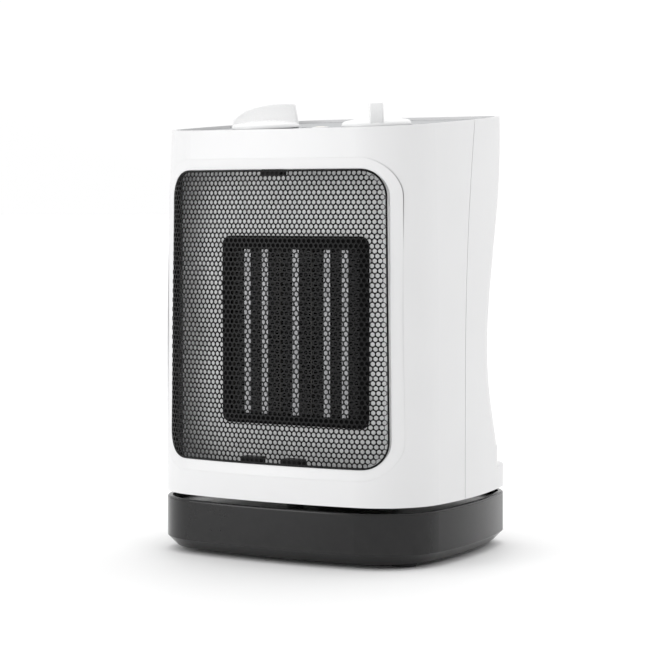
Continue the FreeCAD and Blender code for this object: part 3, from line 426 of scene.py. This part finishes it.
def make_tone_drift():
    """Slow, faint changes of tone, as in a large moulding."""
    takes = [("Vector", VECTOR, None), ("Size", NUMBER, 20.0), ("Low", NUMBER, 0.0), ("High", NUMBER, 1.0)]
    tree, given, out = effect("tone_drift", takes, [("Tone", NUMBER)])
    link = tree.links.new
    noise = node(tree, "ShaderNodeTexNoise", Detail=3.0, Roughness=0.55)
    spread = node(tree, "ShaderNodeMapRange", From_Min=0.32, From_Max=0.68)
    link(given.outputs["Vector"], noise.inputs["Vector"])
    link(given.outputs["Size"], noise.inputs["Scale"])
    link(noise.outputs["Fac"], spread.inputs["Value"])
    link(given.outputs["Low"], spread.inputs["To Min"])
    link(given.outputs["High"], spread.inputs["To Max"])
    link(spread.outputs["Result"], out.inputs["Tone"])


def make_moulded_grain():
    """The fine spark-eroded texture of moulded plastic."""
    tree, given, out = effect("moulded_grain", [("Vector", VECTOR, None), ("Size", NUMBER, 900.0),
                                                ("Low", NUMBER, 0.3), ("High", NUMBER, 0.5)],
                              [("Height", NUMBER), ("Gloss", NUMBER)])
    link = tree.links.new
    cells = node(tree, "ShaderNodeTexVoronoi", {"feature": "SMOOTH_F1"}, Smoothness=0.6)
    noise = node(tree, "ShaderNodeTexNoise", Detail=4.0, Roughness=0.65)
    both = node(tree, "ShaderNodeMath", {"operation": "MULTIPLY"})
    spread = node(tree, "ShaderNodeMapRange", From_Min=0.1, From_Max=0.45)
    for texture in (cells, noise):
        link(given.outputs["Vector"], texture.inputs["Vector"])
        link(given.outputs["Size"], texture.inputs["Scale"])
    link(cells.outputs["Distance"], both.inputs[0])
    link(noise.outputs["Fac"], both.inputs[1])
    link(both.outputs["Value"], spread.inputs["Value"])
    link(given.outputs["Low"], spread.inputs["To Min"])
    link(given.outputs["High"], spread.inputs["To Max"])
    link(both.outputs["Value"], out.inputs["Height"])
    link(spread.outputs["Result"], out.inputs["Gloss"])


def make_drawn_lines():
    """Fine lines along one direction, as on brushed or drawn metal."""
    tree, given, out = effect("drawn_lines", [("Vector", VECTOR, None), ("Size", NUMBER, 60.0),
                                              ("Stretch", VECTOR, (1.0, 1.0, 30.0))],
                              [("Lines", NUMBER), ("Height", NUMBER)])
    link = tree.links.new
    pull = node(tree, "ShaderNodeVectorMath", {"operation": "MULTIPLY"})
    noise = node(tree, "ShaderNodeTexNoise", Detail=5.0, Roughness=0.7)
    spread = node(tree, "ShaderNodeMapRange", From_Min=0.3, From_Max=0.7)
    link(given.outputs["Vector"], pull.inputs[0])
    link(given.outputs["Stretch"], pull.inputs[1])
    link(pull.outputs["Vector"], noise.inputs["Vector"])
    link(given.outputs["Size"], noise.inputs["Scale"])
    link(noise.outputs["Fac"], spread.inputs["Value"])
    link(spread.outputs["Result"], out.inputs["Lines"])
    link(noise.outputs["Fac"], out.inputs["Height"])


def make_settled_dust():
    """A thin film that gathers towards the floor, in patches."""
    tree, given, out = effect("settled_dust", [("Vector", VECTOR, None), ("Top", NUMBER, 0.05),
                                               ("Amount", NUMBER, 0.2)], [("Dust", NUMBER)])
    link = tree.links.new
    split = node(tree, "ShaderNodeSeparateXYZ")
    fall = node(tree, "ShaderNodeMapRange", From_Max=0.0, To_Min=0.0, To_Max=1.0)
    noise = node(tree, "ShaderNodeTexNoise", Scale=140.0, Detail=6.0, Roughness=0.7)
    patchy = node(tree, "ShaderNodeMath", {"operation": "MULTIPLY"})
    thin = node(tree, "ShaderNodeMath", {"operation": "MULTIPLY"})
    link(given.outputs["Vector"], split.inputs["Vector"])
    link(given.outputs["Vector"], noise.inputs["Vector"])
    link(split.outputs["Z"], fall.inputs["Value"])
    link(given.outputs["Top"], fall.inputs["From Min"])
    link(fall.outputs["Result"], patchy.inputs[0])
    link(noise.outputs["Fac"], patchy.inputs[1])
    link(patchy.outputs["Value"], thin.inputs[0])
    link(given.outputs["Amount"], thin.inputs[1])
    link(thin.outputs["Value"], out.inputs["Dust"])


def make_effects():
    make_tone_drift()
    make_moulded_grain()
    make_drawn_lines()
    make_settled_dust()


def placed(tree, name, vector, **values):
    """A shared effect placed in a material with its own values."""
    made = tree.nodes.new("ShaderNodeGroup")
    made.node_tree = bpy.data.node_groups[name]
    for key, value in values.items():
        made.inputs[key].default_value = value
    tree.links.new(vector, made.inputs["Vector"])
    return made


def shade(colour, factor):
    return tuple(min(part * factor, 1.0) for part in colour) + (1.0,)


def material(name, colour, drift=0.03, drift_size=25.0, rough=(0.35, 0.45), grain=900.0, bump=0.1,
             lines=None, dust=0.0, **fixed):
    """A finish: drifting tone, grain or drawn lines in gloss and height, and a little dust."""
    made = bpy.data.materials.new(name)
    made.use_nodes = True
    tree = made.node_tree
    link = tree.links.new
    shader = tree.nodes["Principled BSDF"]
    for key, value in fixed.items():
        shader.inputs[key.replace("_", " ")].default_value = value
    vector = tree.nodes.new("ShaderNodeTexCoord").outputs["Object"]
    tone = placed(tree, "tone_drift", vector, Size=drift_size)
    mix = node(tree, "ShaderNodeMix", {"data_type": "RGBA"})
    mix.inputs[MIX_A].default_value = shade(colour, 1 - drift)
    mix.inputs[MIX_B].default_value = shade(colour, 1 + drift)
    link(tone.outputs["Tone"], mix.inputs[MIX_SHARE])
    tint = mix.outputs[MIX_OUT]
    if lines:
        relief = placed(tree, "drawn_lines", vector, Size=lines[0], Stretch=lines[1])
        gloss = node(tree, "ShaderNodeMapRange", To_Min=rough[0], To_Max=rough[1])
        link(relief.outputs["Lines"], gloss.inputs["Value"])
        gloss = gloss.outputs["Result"]
    else:
        relief = placed(tree, "moulded_grain", vector, Size=grain, Low=rough[0], High=rough[1])
        gloss = relief.outputs["Gloss"]
    if dust:
        film = placed(tree, "settled_dust", vector, Top=0.06, Amount=dust)
        over = node(tree, "ShaderNodeMix", {"data_type": "RGBA"})
        over.inputs[MIX_B].default_value = (0.42, 0.41, 0.39, 1.0)
        link(film.outputs["Dust"], over.inputs[MIX_SHARE])
        link(tint, over.inputs[MIX_A])
        tint = over.outputs[MIX_OUT]
    height = node(tree, "ShaderNodeBump", Strength=bump, Distance=0.2 * MM)
    link(relief.outputs["Height"], height.inputs["Height"])
    link(height.outputs["Normal"], shader.inputs["Normal"])
    link(tint, shader.inputs["Base Color"])
    link(gloss, shader.inputs["Roughness"])


def wear(thing, name):
    """Gives a piece its finish."""
    thing.data.materials.clear()
    thing.data.materials.append(bpy.data.materials[name])


def paint(name, *nodes):
    """Gives CAD nodes their finish."""
    for label in nodes:
        thing = frame["nodes"][label]
        if not thing.material_slots:
            thing.data.materials.append(None)
        for place in thing.material_slots:
            place.material = bpy.data.materials[name]


# ---------- one operator for each piece or group ----------

class Work(bpy.types.Operator):
    """Shared by the operators below"""
    bl_options = {"REGISTER", "UNDO"}

    def execute(self, context):
        self.make(sizes(), colours())
        rest()
        return {"FINISHED"}


class HEATER_OT_stage(Work):
    """Floor, backdrop, soft lights and the camera"""
    bl_idname = "heater.stage"
    bl_label = "Stage and Camera"

    def make(self, spec, hues):
        studio = bpy.context.scene.heater_studio
        self.camera(studio)
        self.floor()
        self.light("key_light", (-1.3, -1.9, 0.3), 1.3, 20.0)
        self.light("fill_light", (1.8, -0.5, 0.8), 1.2, 0.3)
        self.light("top_light", (0.1, 0.3, 1.9), 1.2, 1.5)
        self.room()
        bpy.context.scene.view_settings.view_transform = "Standard"

    def room(self):
        """A room that looks white, brighter overhead and a little darker in front."""
        world = bpy.data.worlds.new("soft_white_room")
        world.use_nodes = True
        tree = world.node_tree
        split = node(tree, "ShaderNodeSeparateXYZ")
        fade = node(tree, "ShaderNodeMapRange", From_Min=-1.0, From_Max=1.0, To_Min=0.56, To_Max=1.04)
        rise = node(tree, "ShaderNodeMapRange", From_Min=0.0, From_Max=1.0, To_Min=0.0, To_Max=0.45)
        both = node(tree, "ShaderNodeMath", {"operation": "ADD"})
        tree.links.new(tree.nodes.new("ShaderNodeTexCoord").outputs["Generated"], split.inputs["Vector"])
        tree.links.new(split.outputs["Y"], fade.inputs["Value"])
        tree.links.new(split.outputs["Z"], rise.inputs["Value"])
        tree.links.new(fade.outputs["Result"], both.inputs[0])
        tree.links.new(rise.outputs["Result"], both.inputs[1])
        seen = node(tree, "ShaderNodeMath", {"operation": "MAXIMUM"})
        tree.links.new(both.outputs["Value"], seen.inputs[0])
        tree.links.new(tree.nodes.new("ShaderNodeLightPath").outputs["Is Camera Ray"], seen.inputs[1])
        back = tree.nodes["Background"]
        back.inputs["Color"].default_value = (1.0, 1.0, 1.0, 1.0)
        tree.links.new(seen.outputs["Value"], back.inputs["Strength"])
        bpy.context.scene.world = world

    def camera(self, studio):
        forward = Vector((-math.sin(studio.azimuth), math.cos(studio.azimuth), 0))
        right = Vector((math.cos(studio.azimuth), math.sin(studio.azimuth), 0))
        place = -studio.distance * forward - studio.aside * right
        place.z = studio.height
        rest()
        facing = (math.pi / 2 - studio.pitch, 0, studio.azimuth)
        bpy.ops.object.camera_add(location=place, rotation=facing)
        camera = bpy.context.object
        camera.name = "studio_camera"
        camera.data.lens = studio.lens
        camera.data.sensor_width = 36
        camera.data.shift_y = studio.shift
        bpy.context.scene.camera = camera

    def floor(self):
        """A plain pale floor that runs out to the horizon."""
        rest()
        bpy.ops.mesh.primitive_grid_add(x_subdivisions=8, y_subdivisions=8, size=120)
        floor = named("studio_floor")
        material("pale_floor", (0.985, 0.985, 0.985), drift=0.002, rough=(0.6, 0.7), bump=0.02)
        wear(floor, "pale_floor")

    def light(self, name, place, width, power):
        rest()
        bpy.ops.object.light_add(type="AREA", location=place)
        lamp = bpy.context.object
        lamp.name = name
        lamp.data.size = width
        lamp.data.energy = power
        lamp.rotation_euler = (Vector((0, 0, 0.12)) - Vector(place)).to_track_quat("-Z", "Y").to_euler()


class HEATER_OT_finishes(Work):
    """Materials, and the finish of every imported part"""
    bl_idname = "heater.finishes"
    bl_label = "Finishes"

    def make(self, spec, hues):
        make_effects()
        material("satin_white", hues.white, drift=0.008, rough=(0.34, 0.42), grain=2600, bump=0.05,
                 dust=0.03)
        material("knob_white", hues.knobs, drift=0.006, drift_size=60, rough=(0.22, 0.3), grain=2600,
                 bump=0.03)
        material("panel_silver", hues.panel, drift=0.02, rough=(0.3, 0.4), grain=3200, bump=0.08,
                 Metallic=0.15)
        material("mesh_coat", hues.charcoal, drift=0.12, drift_size=120, rough=(0.4, 0.52), grain=3500,
                 bump=0.2, Specular_IOR_Level=0.16)
        material("baffle_plate", hues.baffle, drift=0.05, drift_size=18, rough=(0.35, 0.5),
                 lines=(70, (1, 1, 18)), bump=0.05)
        material("frame_black", hues.frame, drift=0.15, rough=(0.5, 0.65), grain=1800, bump=0.25,
                 Specular_IOR_Level=0.06)
        material("bar_metal", hues.metal, drift=0.04, rough=(0.3, 0.5), lines=(90, (6, 6, 1)), bump=0.1,
                 Metallic=0.9)
        # Near-black fins, with a tone that drifts at random.
        material("fin_dark", hues.fins, drift=0.25, drift_size=160, rough=(0.4, 0.6), grain=3000, bump=0.15,
                 Metallic=0.3)
        material("insulator_board", (0.035, 0.033, 0.03), drift=0.1, rough=(0.6, 0.75), grain=1500,
                 bump=0.3)
        material("copper_strip", (0.72, 0.36, 0.2), drift=0.08, rough=(0.25, 0.4), lines=(80, (8, 1, 1)),
                 bump=0.08, Metallic=1.0)
        material("zinc_steel", (0.56, 0.57, 0.58), drift=0.06, rough=(0.25, 0.42), lines=(90, (1, 12, 1)),
                 bump=0.06, Metallic=1.0)
        material("sintered_bronze", (0.42, 0.27, 0.12), drift=0.1, rough=(0.4, 0.55), grain=5000, bump=0.3,
                 Metallic=1.0)
        material("inner_black", (0.014, 0.014, 0.015), drift=0.1, rough=(0.4, 0.5), grain=2200, bump=0.15)
        material("base_black", hues.base, drift=0.08, drift_size=12, rough=(0.17, 0.25), grain=2400,
                 bump=0.06, dust=0.03, Specular_IOR_Level=0.3)
        material("foot_rubber", (0.02, 0.02, 0.021), drift=0.15, rough=(0.7, 0.85), grain=1800, bump=0.3)
        material("switch_cream", (0.55, 0.52, 0.44), drift=0.04, rough=(0.4, 0.5), grain=2400, bump=0.1)
        material("natural_nylon", (0.72, 0.70, 0.62), drift=0.03, rough=(0.35, 0.45), grain=2200, bump=0.1)
        material("clear_lens", (0.72, 0.73, 0.75), drift=0.05, rough=(0.12, 0.2), grain=1600, bump=0.04,
                 Transmission_Weight=0.6, IOR=1.49)
        material("lamp_glass", (0.8, 0.7, 0.6), drift=0.05, rough=(0.08, 0.14), grain=1600, bump=0.02,
                 Transmission_Weight=0.7, IOR=1.5)
        paint("satin_white", "front_shell", "rear_shell", "rear_grille", "body_floor")
        paint("panel_silver", "control_panel")
        paint("mesh_coat", "mesh_clips", "front_grille")
        paint("baffle_plate", "inner_baffle")
        paint("frame_black", "heater_frame")
        paint("bar_metal", "ceramic_bars")
        paint("fin_dark", "fin_stacks")
        paint("insulator_board", "insulating_strips")
        paint("copper_strip", "heater_tabs")
        paint("zinc_steel", "fan_motor", "motor_shaft", "thermostat_shaft", "mode_switch_shaft",
              "shell_screws", "base_screws", "ballast_plate", "swing_motor", "crank_shaft", "crank_pin",
              "pivot_retainer", "plunger_spring", "motor_bracket", "thermal_cutout")
        paint("sintered_bronze", "motor_bushes")
        paint("inner_black", "air_duct", "fan_shroud", "fan_impeller", "thermostat", "cord_gland")
        paint("base_black", "base_housing", "bottom_plate")
        paint("foot_rubber", "rubber_feet")
        paint("switch_cream", "mode_switch", "tip_switch", "terminal_block")
        paint("natural_nylon", "crank_arm", "glide_ring", "tip_plunger")
        paint("knob_white", "thermostat_knob", "mode_switch_knob")
        paint("clear_lens", "indicator_lens")
        paint("lamp_glass", "indicator_lamp")


class HEATER_OT_bezel(Work):
    """The sloped border around the opening in the front"""
    bl_idname = "heater.bezel"
    bl_label = "Outlet Bezel"

    def make(self, spec, hues):
        front = Front(spec)
        slack = 0.03 * MM
        edge = 0.35 * MM
        slope = spec.bezel - slack - edge
        bezel = rounded_plate("outlet_bezel", spec.outlet_width / 2 + spec.bezel - slack,
                              spec.outlet_low - spec.bezel + slack, spec.outlet_high + spec.bezel - slack,
                              spec.outlet_corner + spec.bezel - slack, segments=14)
        inset_rings(bezel, [(edge, 0.05 * MM), (slope - 0.1 * MM, spec.bezel_depth - 0.45 * MM),
                            (0.1 * MM, 0.1 * MM), (0, 0.27 * MM)])
        slice_up(bezel, 0, 3 * MM)

        def wrap(point):
            x = front.narrowed(point.x, point.z)
            return Vector((x, front.y_at(x, point.y) + front.lean(point.z), point.z))

        reshape(bezel, wrap)
        tidy(bezel, math.radians(20))
        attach(bezel, "tower")
        wear(bezel, "satin_white")


class HEATER_OT_mesh(Work):
    """The perforated sheet in the opening, and its rolled border"""
    bl_idname = "heater.mesh"
    bl_label = "Front Mesh"

    def make(self, spec, hues):
        front = Front(spec)
        pitch, rise = spec.mesh_pitch, spec.mesh_pitch * math.sqrt(3) / 2
        gap = 0.25 * MM
        half = front.run_at(spec.outlet_width / 2, spec.mesh_inset) - gap
        low, high = spec.outlet_low + gap, spec.outlet_high - gap
        corner = spec.outlet_corner - gap
        middle = (low + high) / 2

        def distance(x, z):
            """How far a place is inside the edge of the opening."""
            dx = abs(x) - (half - corner)
            dz = abs(z - middle) - ((high - low) / 2 - corner)
            outside = math.hypot(max(dx, 0), max(dz, 0))
            return corner - outside - min(max(dx, dz), 0)

        def wrap(point):
            inside = max(distance(point.x, point.z), 0) / spec.mesh_roll
            back = spec.mesh_sink * max(1 - inside, 0) ** 2
            x = front.narrowed(point.x, point.z)
            return front.flat_to_bowed(Vector((x, point.y + back, point.z)), spec.mesh_inset)

        sheet = self.cells(spec, pitch, rise, half + 1.5 * MM, high - low + 3 * MM, middle)

        def outside(point):
            """True where the hole that this place belongs to is too near the edge."""
            places = []
            for row in (math.floor((point.z - middle) / rise), math.ceil((point.z - middle) / rise)):
                shift = 0.5 * (row % 2)
                x, z = (round(point.x / pitch - shift) + shift) * pitch, middle + row * rise
                places.append((math.hypot(point.x - x, point.z - z), x, z))
            near = min(places)
            return distance(near[1], near[2]) < spec.mesh_border

        pick(sheet, outside)
        bpy.ops.mesh.delete(type="FACE")
        rest()
        modify(sheet, "SOLIDIFY", thickness=spec.mesh_sheet, offset=0)
        reshape(sheet, wrap)
        take(sheet)
        bpy.ops.object.shade_smooth_by_angle(angle=SHARP)
        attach(sheet, "tower")
        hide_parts("front_grille")
        wear(sheet, "mesh_coat")

        rim = rounded_plate("mesh_rim", half, low, high, corner, segments=14)
        wall = 3.2 * MM
        inset_rings(rim, [(0.25 * MM, -0.18 * MM), (0.25 * MM, -0.08 * MM),
                          (spec.mesh_border - 1.1 * MM, 0.04 * MM), (0.2 * MM, 0.12 * MM),
                          (0, 0.4 * MM)], back=wall)
        reshape(rim, lambda point: point + Vector((0, wall, 0)))
        slice_up(rim, 0, 3 * MM)
        reshape(rim, wrap)
        tidy(rim)
        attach(rim, "tower")
        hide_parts("front_grille")
        wear(rim, "mesh_coat")

    def cells(self, spec, pitch, rise, half, height, middle):
        """A honeycomb of round holes, drawn as one cell and repeated."""
        rest()
        bpy.ops.mesh.primitive_circle_add(vertices=6, radius=pitch / math.sqrt(3), fill_type="NOTHING",
                                          rotation=(math.pi / 2, 0, 0))
        cell = named("front_mesh")
        settle(cell)
        edit(cell)
        bpy.ops.mesh.select_all(action="SELECT")
        bpy.ops.mesh.primitive_circle_add(vertices=12, radius=spec.mesh_hole, fill_type="NOTHING",
                                          rotation=(math.pi / 2, math.radians(15), 0))
        bpy.ops.mesh.select_all(action="SELECT")
        bpy.ops.mesh.bridge_edge_loops()
        rest()
        columns = 2 * int(half / pitch) + 3
        lines = 2 * int(height / rise / 4) + 1
        start = Vector((-(columns - 1) * pitch / 2, 0, middle - (lines - 1) * rise))
        twin = copy_of(cell, "second_row")
        for thing, shift in ((cell, (0, 0, 0)), (twin, (pitch / 2, 0, rise))):
            edit(thing)
            bpy.ops.mesh.select_all(action="SELECT")
            bpy.ops.transform.translate(value=Vector(shift))
        sheet = join("front_mesh", [cell, twin])
        for count, step in ((columns, (pitch, 0, 0)), (lines, (0, 0, 2 * rise))):
            repeat(sheet, count, step)
        edit(sheet)
        bpy.ops.mesh.select_all(action="SELECT")
        bpy.ops.transform.translate(value=start)
        bpy.ops.mesh.remove_doubles(threshold=0.02 * MM)
        rest()
        return sheet


class HEATER_OT_fins(Work):
    """The folded fins between the ceramic bars"""
    bl_idname = "heater.fins"
    bl_label = "Fins"

    def make(self, spec, hues):
        low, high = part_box("fin_stacks")
        edges = self.gaps()
        folds = int((high[2] - low[2]) / spec.fin_pitch)
        pitch = (high[2] - low[2] - spec.fin_sheet) / folds
        near = low[1]
        slant, flat = 0.42 * pitch, 0.08 * pitch
        half_way = slant + flat
        fold = trace("fins_1", [(-0.5, near, 0), (0.5, near, slant), (0.5, near, half_way),
                                (-0.5, near, half_way + slant), (-0.5, near, pitch)])
        bpy.ops.mesh.select_all(action="SELECT")
        bpy.ops.mesh.extrude_region_move(TRANSFORM_OT_translate={"value": (0, high[1] - low[1], 0)})
        rest()
        repeat(fold, folds, (0, 0, pitch), use_merge_vertices=True, merge_threshold=0.01 * MM)
        strips = [fold] + [copy_of(fold, "fins_%d" % (index + 2)) for index in range(len(edges) - 1)]
        for strip, (left, right) in zip(strips, edges):
            width = right - left - spec.fin_sheet - 0.1 * MM
            edit(strip)
            bpy.ops.mesh.select_all(action="SELECT")
            bpy.ops.transform.resize(value=(width, 1, 1), center_override=(0, 0, 0))
            bpy.ops.transform.translate(value=((left + right) / 2, 0, low[2] + spec.fin_sheet / 2))
            rest()
            modify(strip, "SOLIDIFY", thickness=spec.fin_sheet, offset=0, use_even_offset=False)
            tidy(strip, math.radians(60))
            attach(strip, "tower")
            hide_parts("fin_stacks")
            wear(strip, "fin_dark")

    def gaps(self):
        """The gaps between bars and strips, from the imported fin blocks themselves."""
        places = sorted({round(vertex.co.x, 6) for vertex in frame["nodes"]["fin_stacks"].data.vertices})
        return list(zip(places[0::2], places[1::2]))


class HEATER_OT_knobs(Work):
    """The two knobs"""
    bl_idname = "heater.knobs"
    bl_label = "Knobs"

    def make(self, spec, hues):
        for name, node_name, body, side, angle in (
            ("left_knob", "mode_switch_knob", "mode_dial", -1, spec.left_turn),
            ("right_knob", "thermostat_knob", "thermostat_dial", 1, spec.right_turn),
        ):
            knob = self.knob(spec, name)
            place = on_panel(spec, side * spec.knob_x, angle)
            reshape(knob, lambda point: place @ point)
            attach(knob, body)
            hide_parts(node_name)
            wear(knob, "knob_white")

    def knob(self, spec, name):
        """A domed skirt with a grip: low at one end, rising in a quarter round to an upright end."""
        radius, skirt, lift = spec.knob_radius, spec.knob_skirt, spec.knob_lift
        edge = 0.5 * MM
        shoulder_in, shoulder_up, shoulder_foot = 3.2 * MM, 2.4 * MM, 0.8 * MM
        section = [(0, lift), (radius - edge, lift)]
        section += quarter((radius - edge, lift + edge), edge, -90, 0, 4)
        for index in range(7):
            angle = math.radians(80 * index / 6)
            section.append((radius - shoulder_in * (1 - math.cos(angle)),
                            lift + shoulder_foot + shoulder_up * math.sin(angle)))
        section += [(radius * 0.6, lift + skirt * 0.84), (radius * 0.3, lift + skirt * 0.96),
                    (0, lift + skirt)]
        body = turn(name, section)
        grip = self.grip(spec, lift)
        modify(body, "BOOLEAN", operation="UNION", object=grip, solver="EXACT")
        bpy.data.objects.remove(grip)
        tidy(body, math.radians(35))
        return body

    def grip(self, spec, lift):
        reach, top, skirt = spec.knob_radius - 0.5 * MM, spec.knob_height, spec.knob_skirt
        low = lift + skirt * 0.55
        crest = reach * 0.45
        outline = [(-reach, lift + 1 * MM), (-reach, low)]
        for index in range(1, 15):
            angle = math.pi / 2 * index / 14
            outline.append((-reach + (reach + crest) * (1 - math.cos(angle)),
                            low + (lift + top - low) * math.sin(angle)))
        outline += [(reach - 2.6 * MM, lift + top - 0.3 * MM), (reach - 1.4 * MM, lift + top - 1.2 * MM),
                    (reach, lift + 3 * MM), (reach, lift + 1 * MM)]
        grip = trace("grip", [(x, -spec.knob_grip / 2, z) for x, z in outline])
        bpy.ops.mesh.select_all(action="SELECT")
        bpy.ops.mesh.edge_face_add()
        bpy.ops.mesh.extrude_region_move(TRANSFORM_OT_translate={"value": (0, spec.knob_grip, 0)})
        rest()
        tidy(grip)
        modify(grip, "BEVEL", width=1.1 * MM, segments=4, limit_method="ANGLE",
               angle_limit=math.radians(50))
        return grip


def on_panel(spec, x, angle=0.0):
    """The frame of a place on the panel: square on its top, on the knobs' line."""
    rise = (spec.knob_y + spec.body_depth / 2) * math.tan(spec.rim_slope)
    height = spec.rim_front + rise - spec.panel_recess
    return (Matrix.Translation((x, spec.knob_y, height)) @ Matrix.Rotation(spec.rim_slope, 4, "X")
            @ Matrix.Rotation(angle, 4, "Z"))


class HEATER_OT_marks(Work):
    """Plain setting marks around the knobs and a ring around the lamp"""
    bl_idname = "heater.marks"
    bl_label = "Panel Marks"

    def make(self, spec, hues):
        material("mark_grey", (0.16, 0.165, 0.175), drift=0.05, rough=(0.4, 0.5), grain=3000, bump=0.05)
        marks = []
        for side, angles in ((-1, range(-130, 131, 65)), (1, range(-120, 121, 30))):
            for degrees in angles:
                marks.append(self.tick(spec, side, math.radians(degrees), degrees % 60 == 0 or side < 0))
        marks = join("panel_marks", marks)
        tidy(marks)
        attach(marks, "tower")
        wear(marks, "mark_grey")

        section = [(3.4, -0.2), (4.6, -0.2), (4.6, 0.25), (4.4, 0.45),
                   (3.6, 0.45), (3.4, 0.3), (3.4, -0.2)]
        ring = turn("lamp_ring", [(radius * MM, height * MM) for radius, height in section], steps=40)
        place = on_panel(spec, 0)
        reshape(ring, lambda point: place @ point)
        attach(ring, "tower")
        wear(ring, "knob_white")

    def tick(self, spec, side, angle, long):
        rest()
        bpy.ops.mesh.primitive_cube_add(size=1)
        tick = named("tick")
        edit(tick)
        bpy.ops.mesh.select_all(action="SELECT")
        bpy.ops.transform.resize(value=(0.7 * MM, (2.6 if long else 1.6) * MM, 0.16 * MM))
        bpy.ops.mesh.bevel(offset=0.06 * MM, segments=2)
        place = on_panel(spec, side * spec.knob_x) @ Matrix.Rotation(angle, 4, "Z")
        rest()
        out = Vector((0, spec.knob_radius + 2.6 * MM, 0.04 * MM))
        reshape(tick, lambda point: place @ (point + out))
        return tick


class HEATER_OT_screws(Work):
    """Cross-recess screws in the back and under the base"""
    bl_idname = "heater.screws"
    bl_label = "Screws"

    def make(self, spec, hues):
        pattern = self.screw()
        groups = (("shell_screws", "tower", (0, 1, 0)), ("base_screws", "base", (0, 0, -1)))
        for label, body, along in groups:
            for index, place in enumerate(self.heads(label, Vector(along))):
                screw = copy_of(pattern, "%s_%d" % (label[:-1], index + 1))
                turned_to = Vector(along).to_track_quat("Z", "Y").to_matrix().to_4x4()
                reshape(screw, lambda point: place + (turned_to @ point))
                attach(screw, body)
                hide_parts(label)
                wear(screw, "zinc_steel")
        bpy.data.objects.remove(pattern)

    def heads(self, label, along):
        """The middle of each packed screw's head, sorted out by the corner that it is in."""
        corners = {}
        low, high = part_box(label)
        middle = (low + high) / 2
        across = [axis for axis in range(3) if not along[axis]]
        for vertex in frame["nodes"][label].data.vertices:
            corner = tuple(vertex.co[axis] > middle[axis] for axis in across)
            corners.setdefault(corner, []).append(vertex.co)
        for corner in sorted(corners):
            points = corners[corner]
            top = max(point.dot(along) for point in points)
            head = [point for point in points if point.dot(along) > top - 0.3 * MM]
            least = Vector(min(point[axis] for point in head) for axis in range(3))
            most = Vector(max(point[axis] for point in head) for axis in range(3))
            place = (least + most) / 2
            yield place + along * (top - place.dot(along))

    def screw(self):
        """A pan head with a cross recess, its top at the origin, on a plain shank."""
        section = [(0, -13), (0.9, -13), (1.5, -11.5), (1.5, -2.0), (3.0, -2.0), (3.0, -1.1), (2.8, -0.55),
                   (2.2, -0.2), (1.2, -0.03), (0, 0)]
        screw = turn("screw", [(radius * MM, height * MM) for radius, height in section], steps=32)
        for angle in (0, math.pi / 2):
            rest()
            bpy.ops.mesh.primitive_cube_add(size=1)
            blade = named("blade")
            edit(blade)
            bpy.ops.mesh.select_all(action="SELECT")
            bpy.ops.transform.resize(value=(3.2 * MM, 0.7 * MM, 2.4 * MM))
            bpy.ops.mesh.bevel(offset=0.12 * MM, segments=2)
            rest()
            spun = Matrix.Rotation(angle, 4, "Z")
            reshape(blade, lambda point: spun @ point)
            modify(screw, "BOOLEAN", operation="DIFFERENCE", object=blade, solver="EXACT")
            bpy.data.objects.remove(blade)
        tidy(screw)
        return screw


# ---------- the sidebar and the run ----------

STEPS = (HEATER_OT_finishes, HEATER_OT_stage, HEATER_OT_bezel, HEATER_OT_mesh, HEATER_OT_fins,
         HEATER_OT_knobs, HEATER_OT_marks, HEATER_OT_screws)


class HEATER_PT_panel(bpy.types.Panel):
    bl_label = "Ceramic Heater"
    bl_idname = "HEATER_PT_panel"
    bl_space_type = "VIEW_3D"
    bl_region_type = "UI"
    bl_category = "Heater"

    def draw(self, context):
        scene = context.scene
        for group in (scene.heater_sizes, scene.heater_colours, scene.heater_studio):
            box = self.layout.box()
            for key in group.bl_rna.properties.keys():
                if key not in ("rna_type", "name"):
                    box.prop(group, key)
        for step in STEPS:
            self.layout.operator(step.bl_idname)


CLASSES = (HeaterSizes, HeaterColours, HeaterStudio) + STEPS + (HEATER_PT_panel,)


def register():
    for item in CLASSES:
        bpy.utils.register_class(item)
    bpy.types.Scene.heater_sizes = PointerProperty(type=HeaterSizes)
    bpy.types.Scene.heater_colours = PointerProperty(type=HeaterColours)
    bpy.types.Scene.heater_studio = PointerProperty(type=HeaterStudio)


def unregister():
    del bpy.types.Scene.heater_studio
    del bpy.types.Scene.heater_colours
    del bpy.types.Scene.heater_sizes
    for item in reversed(CLASSES):
        bpy.utils.unregister_class(item)


def main():
    register()
    bpy.ops.heater.finishes()
    bpy.ops.heater.stage()
    bpy.ops.heater.bezel()
    bpy.ops.heater.mesh()
    bpy.ops.heater.fins()
    bpy.ops.heater.knobs()
    bpy.ops.heater.marks()
    bpy.ops.heater.screws()


if __name__ == "__main__":
    main()
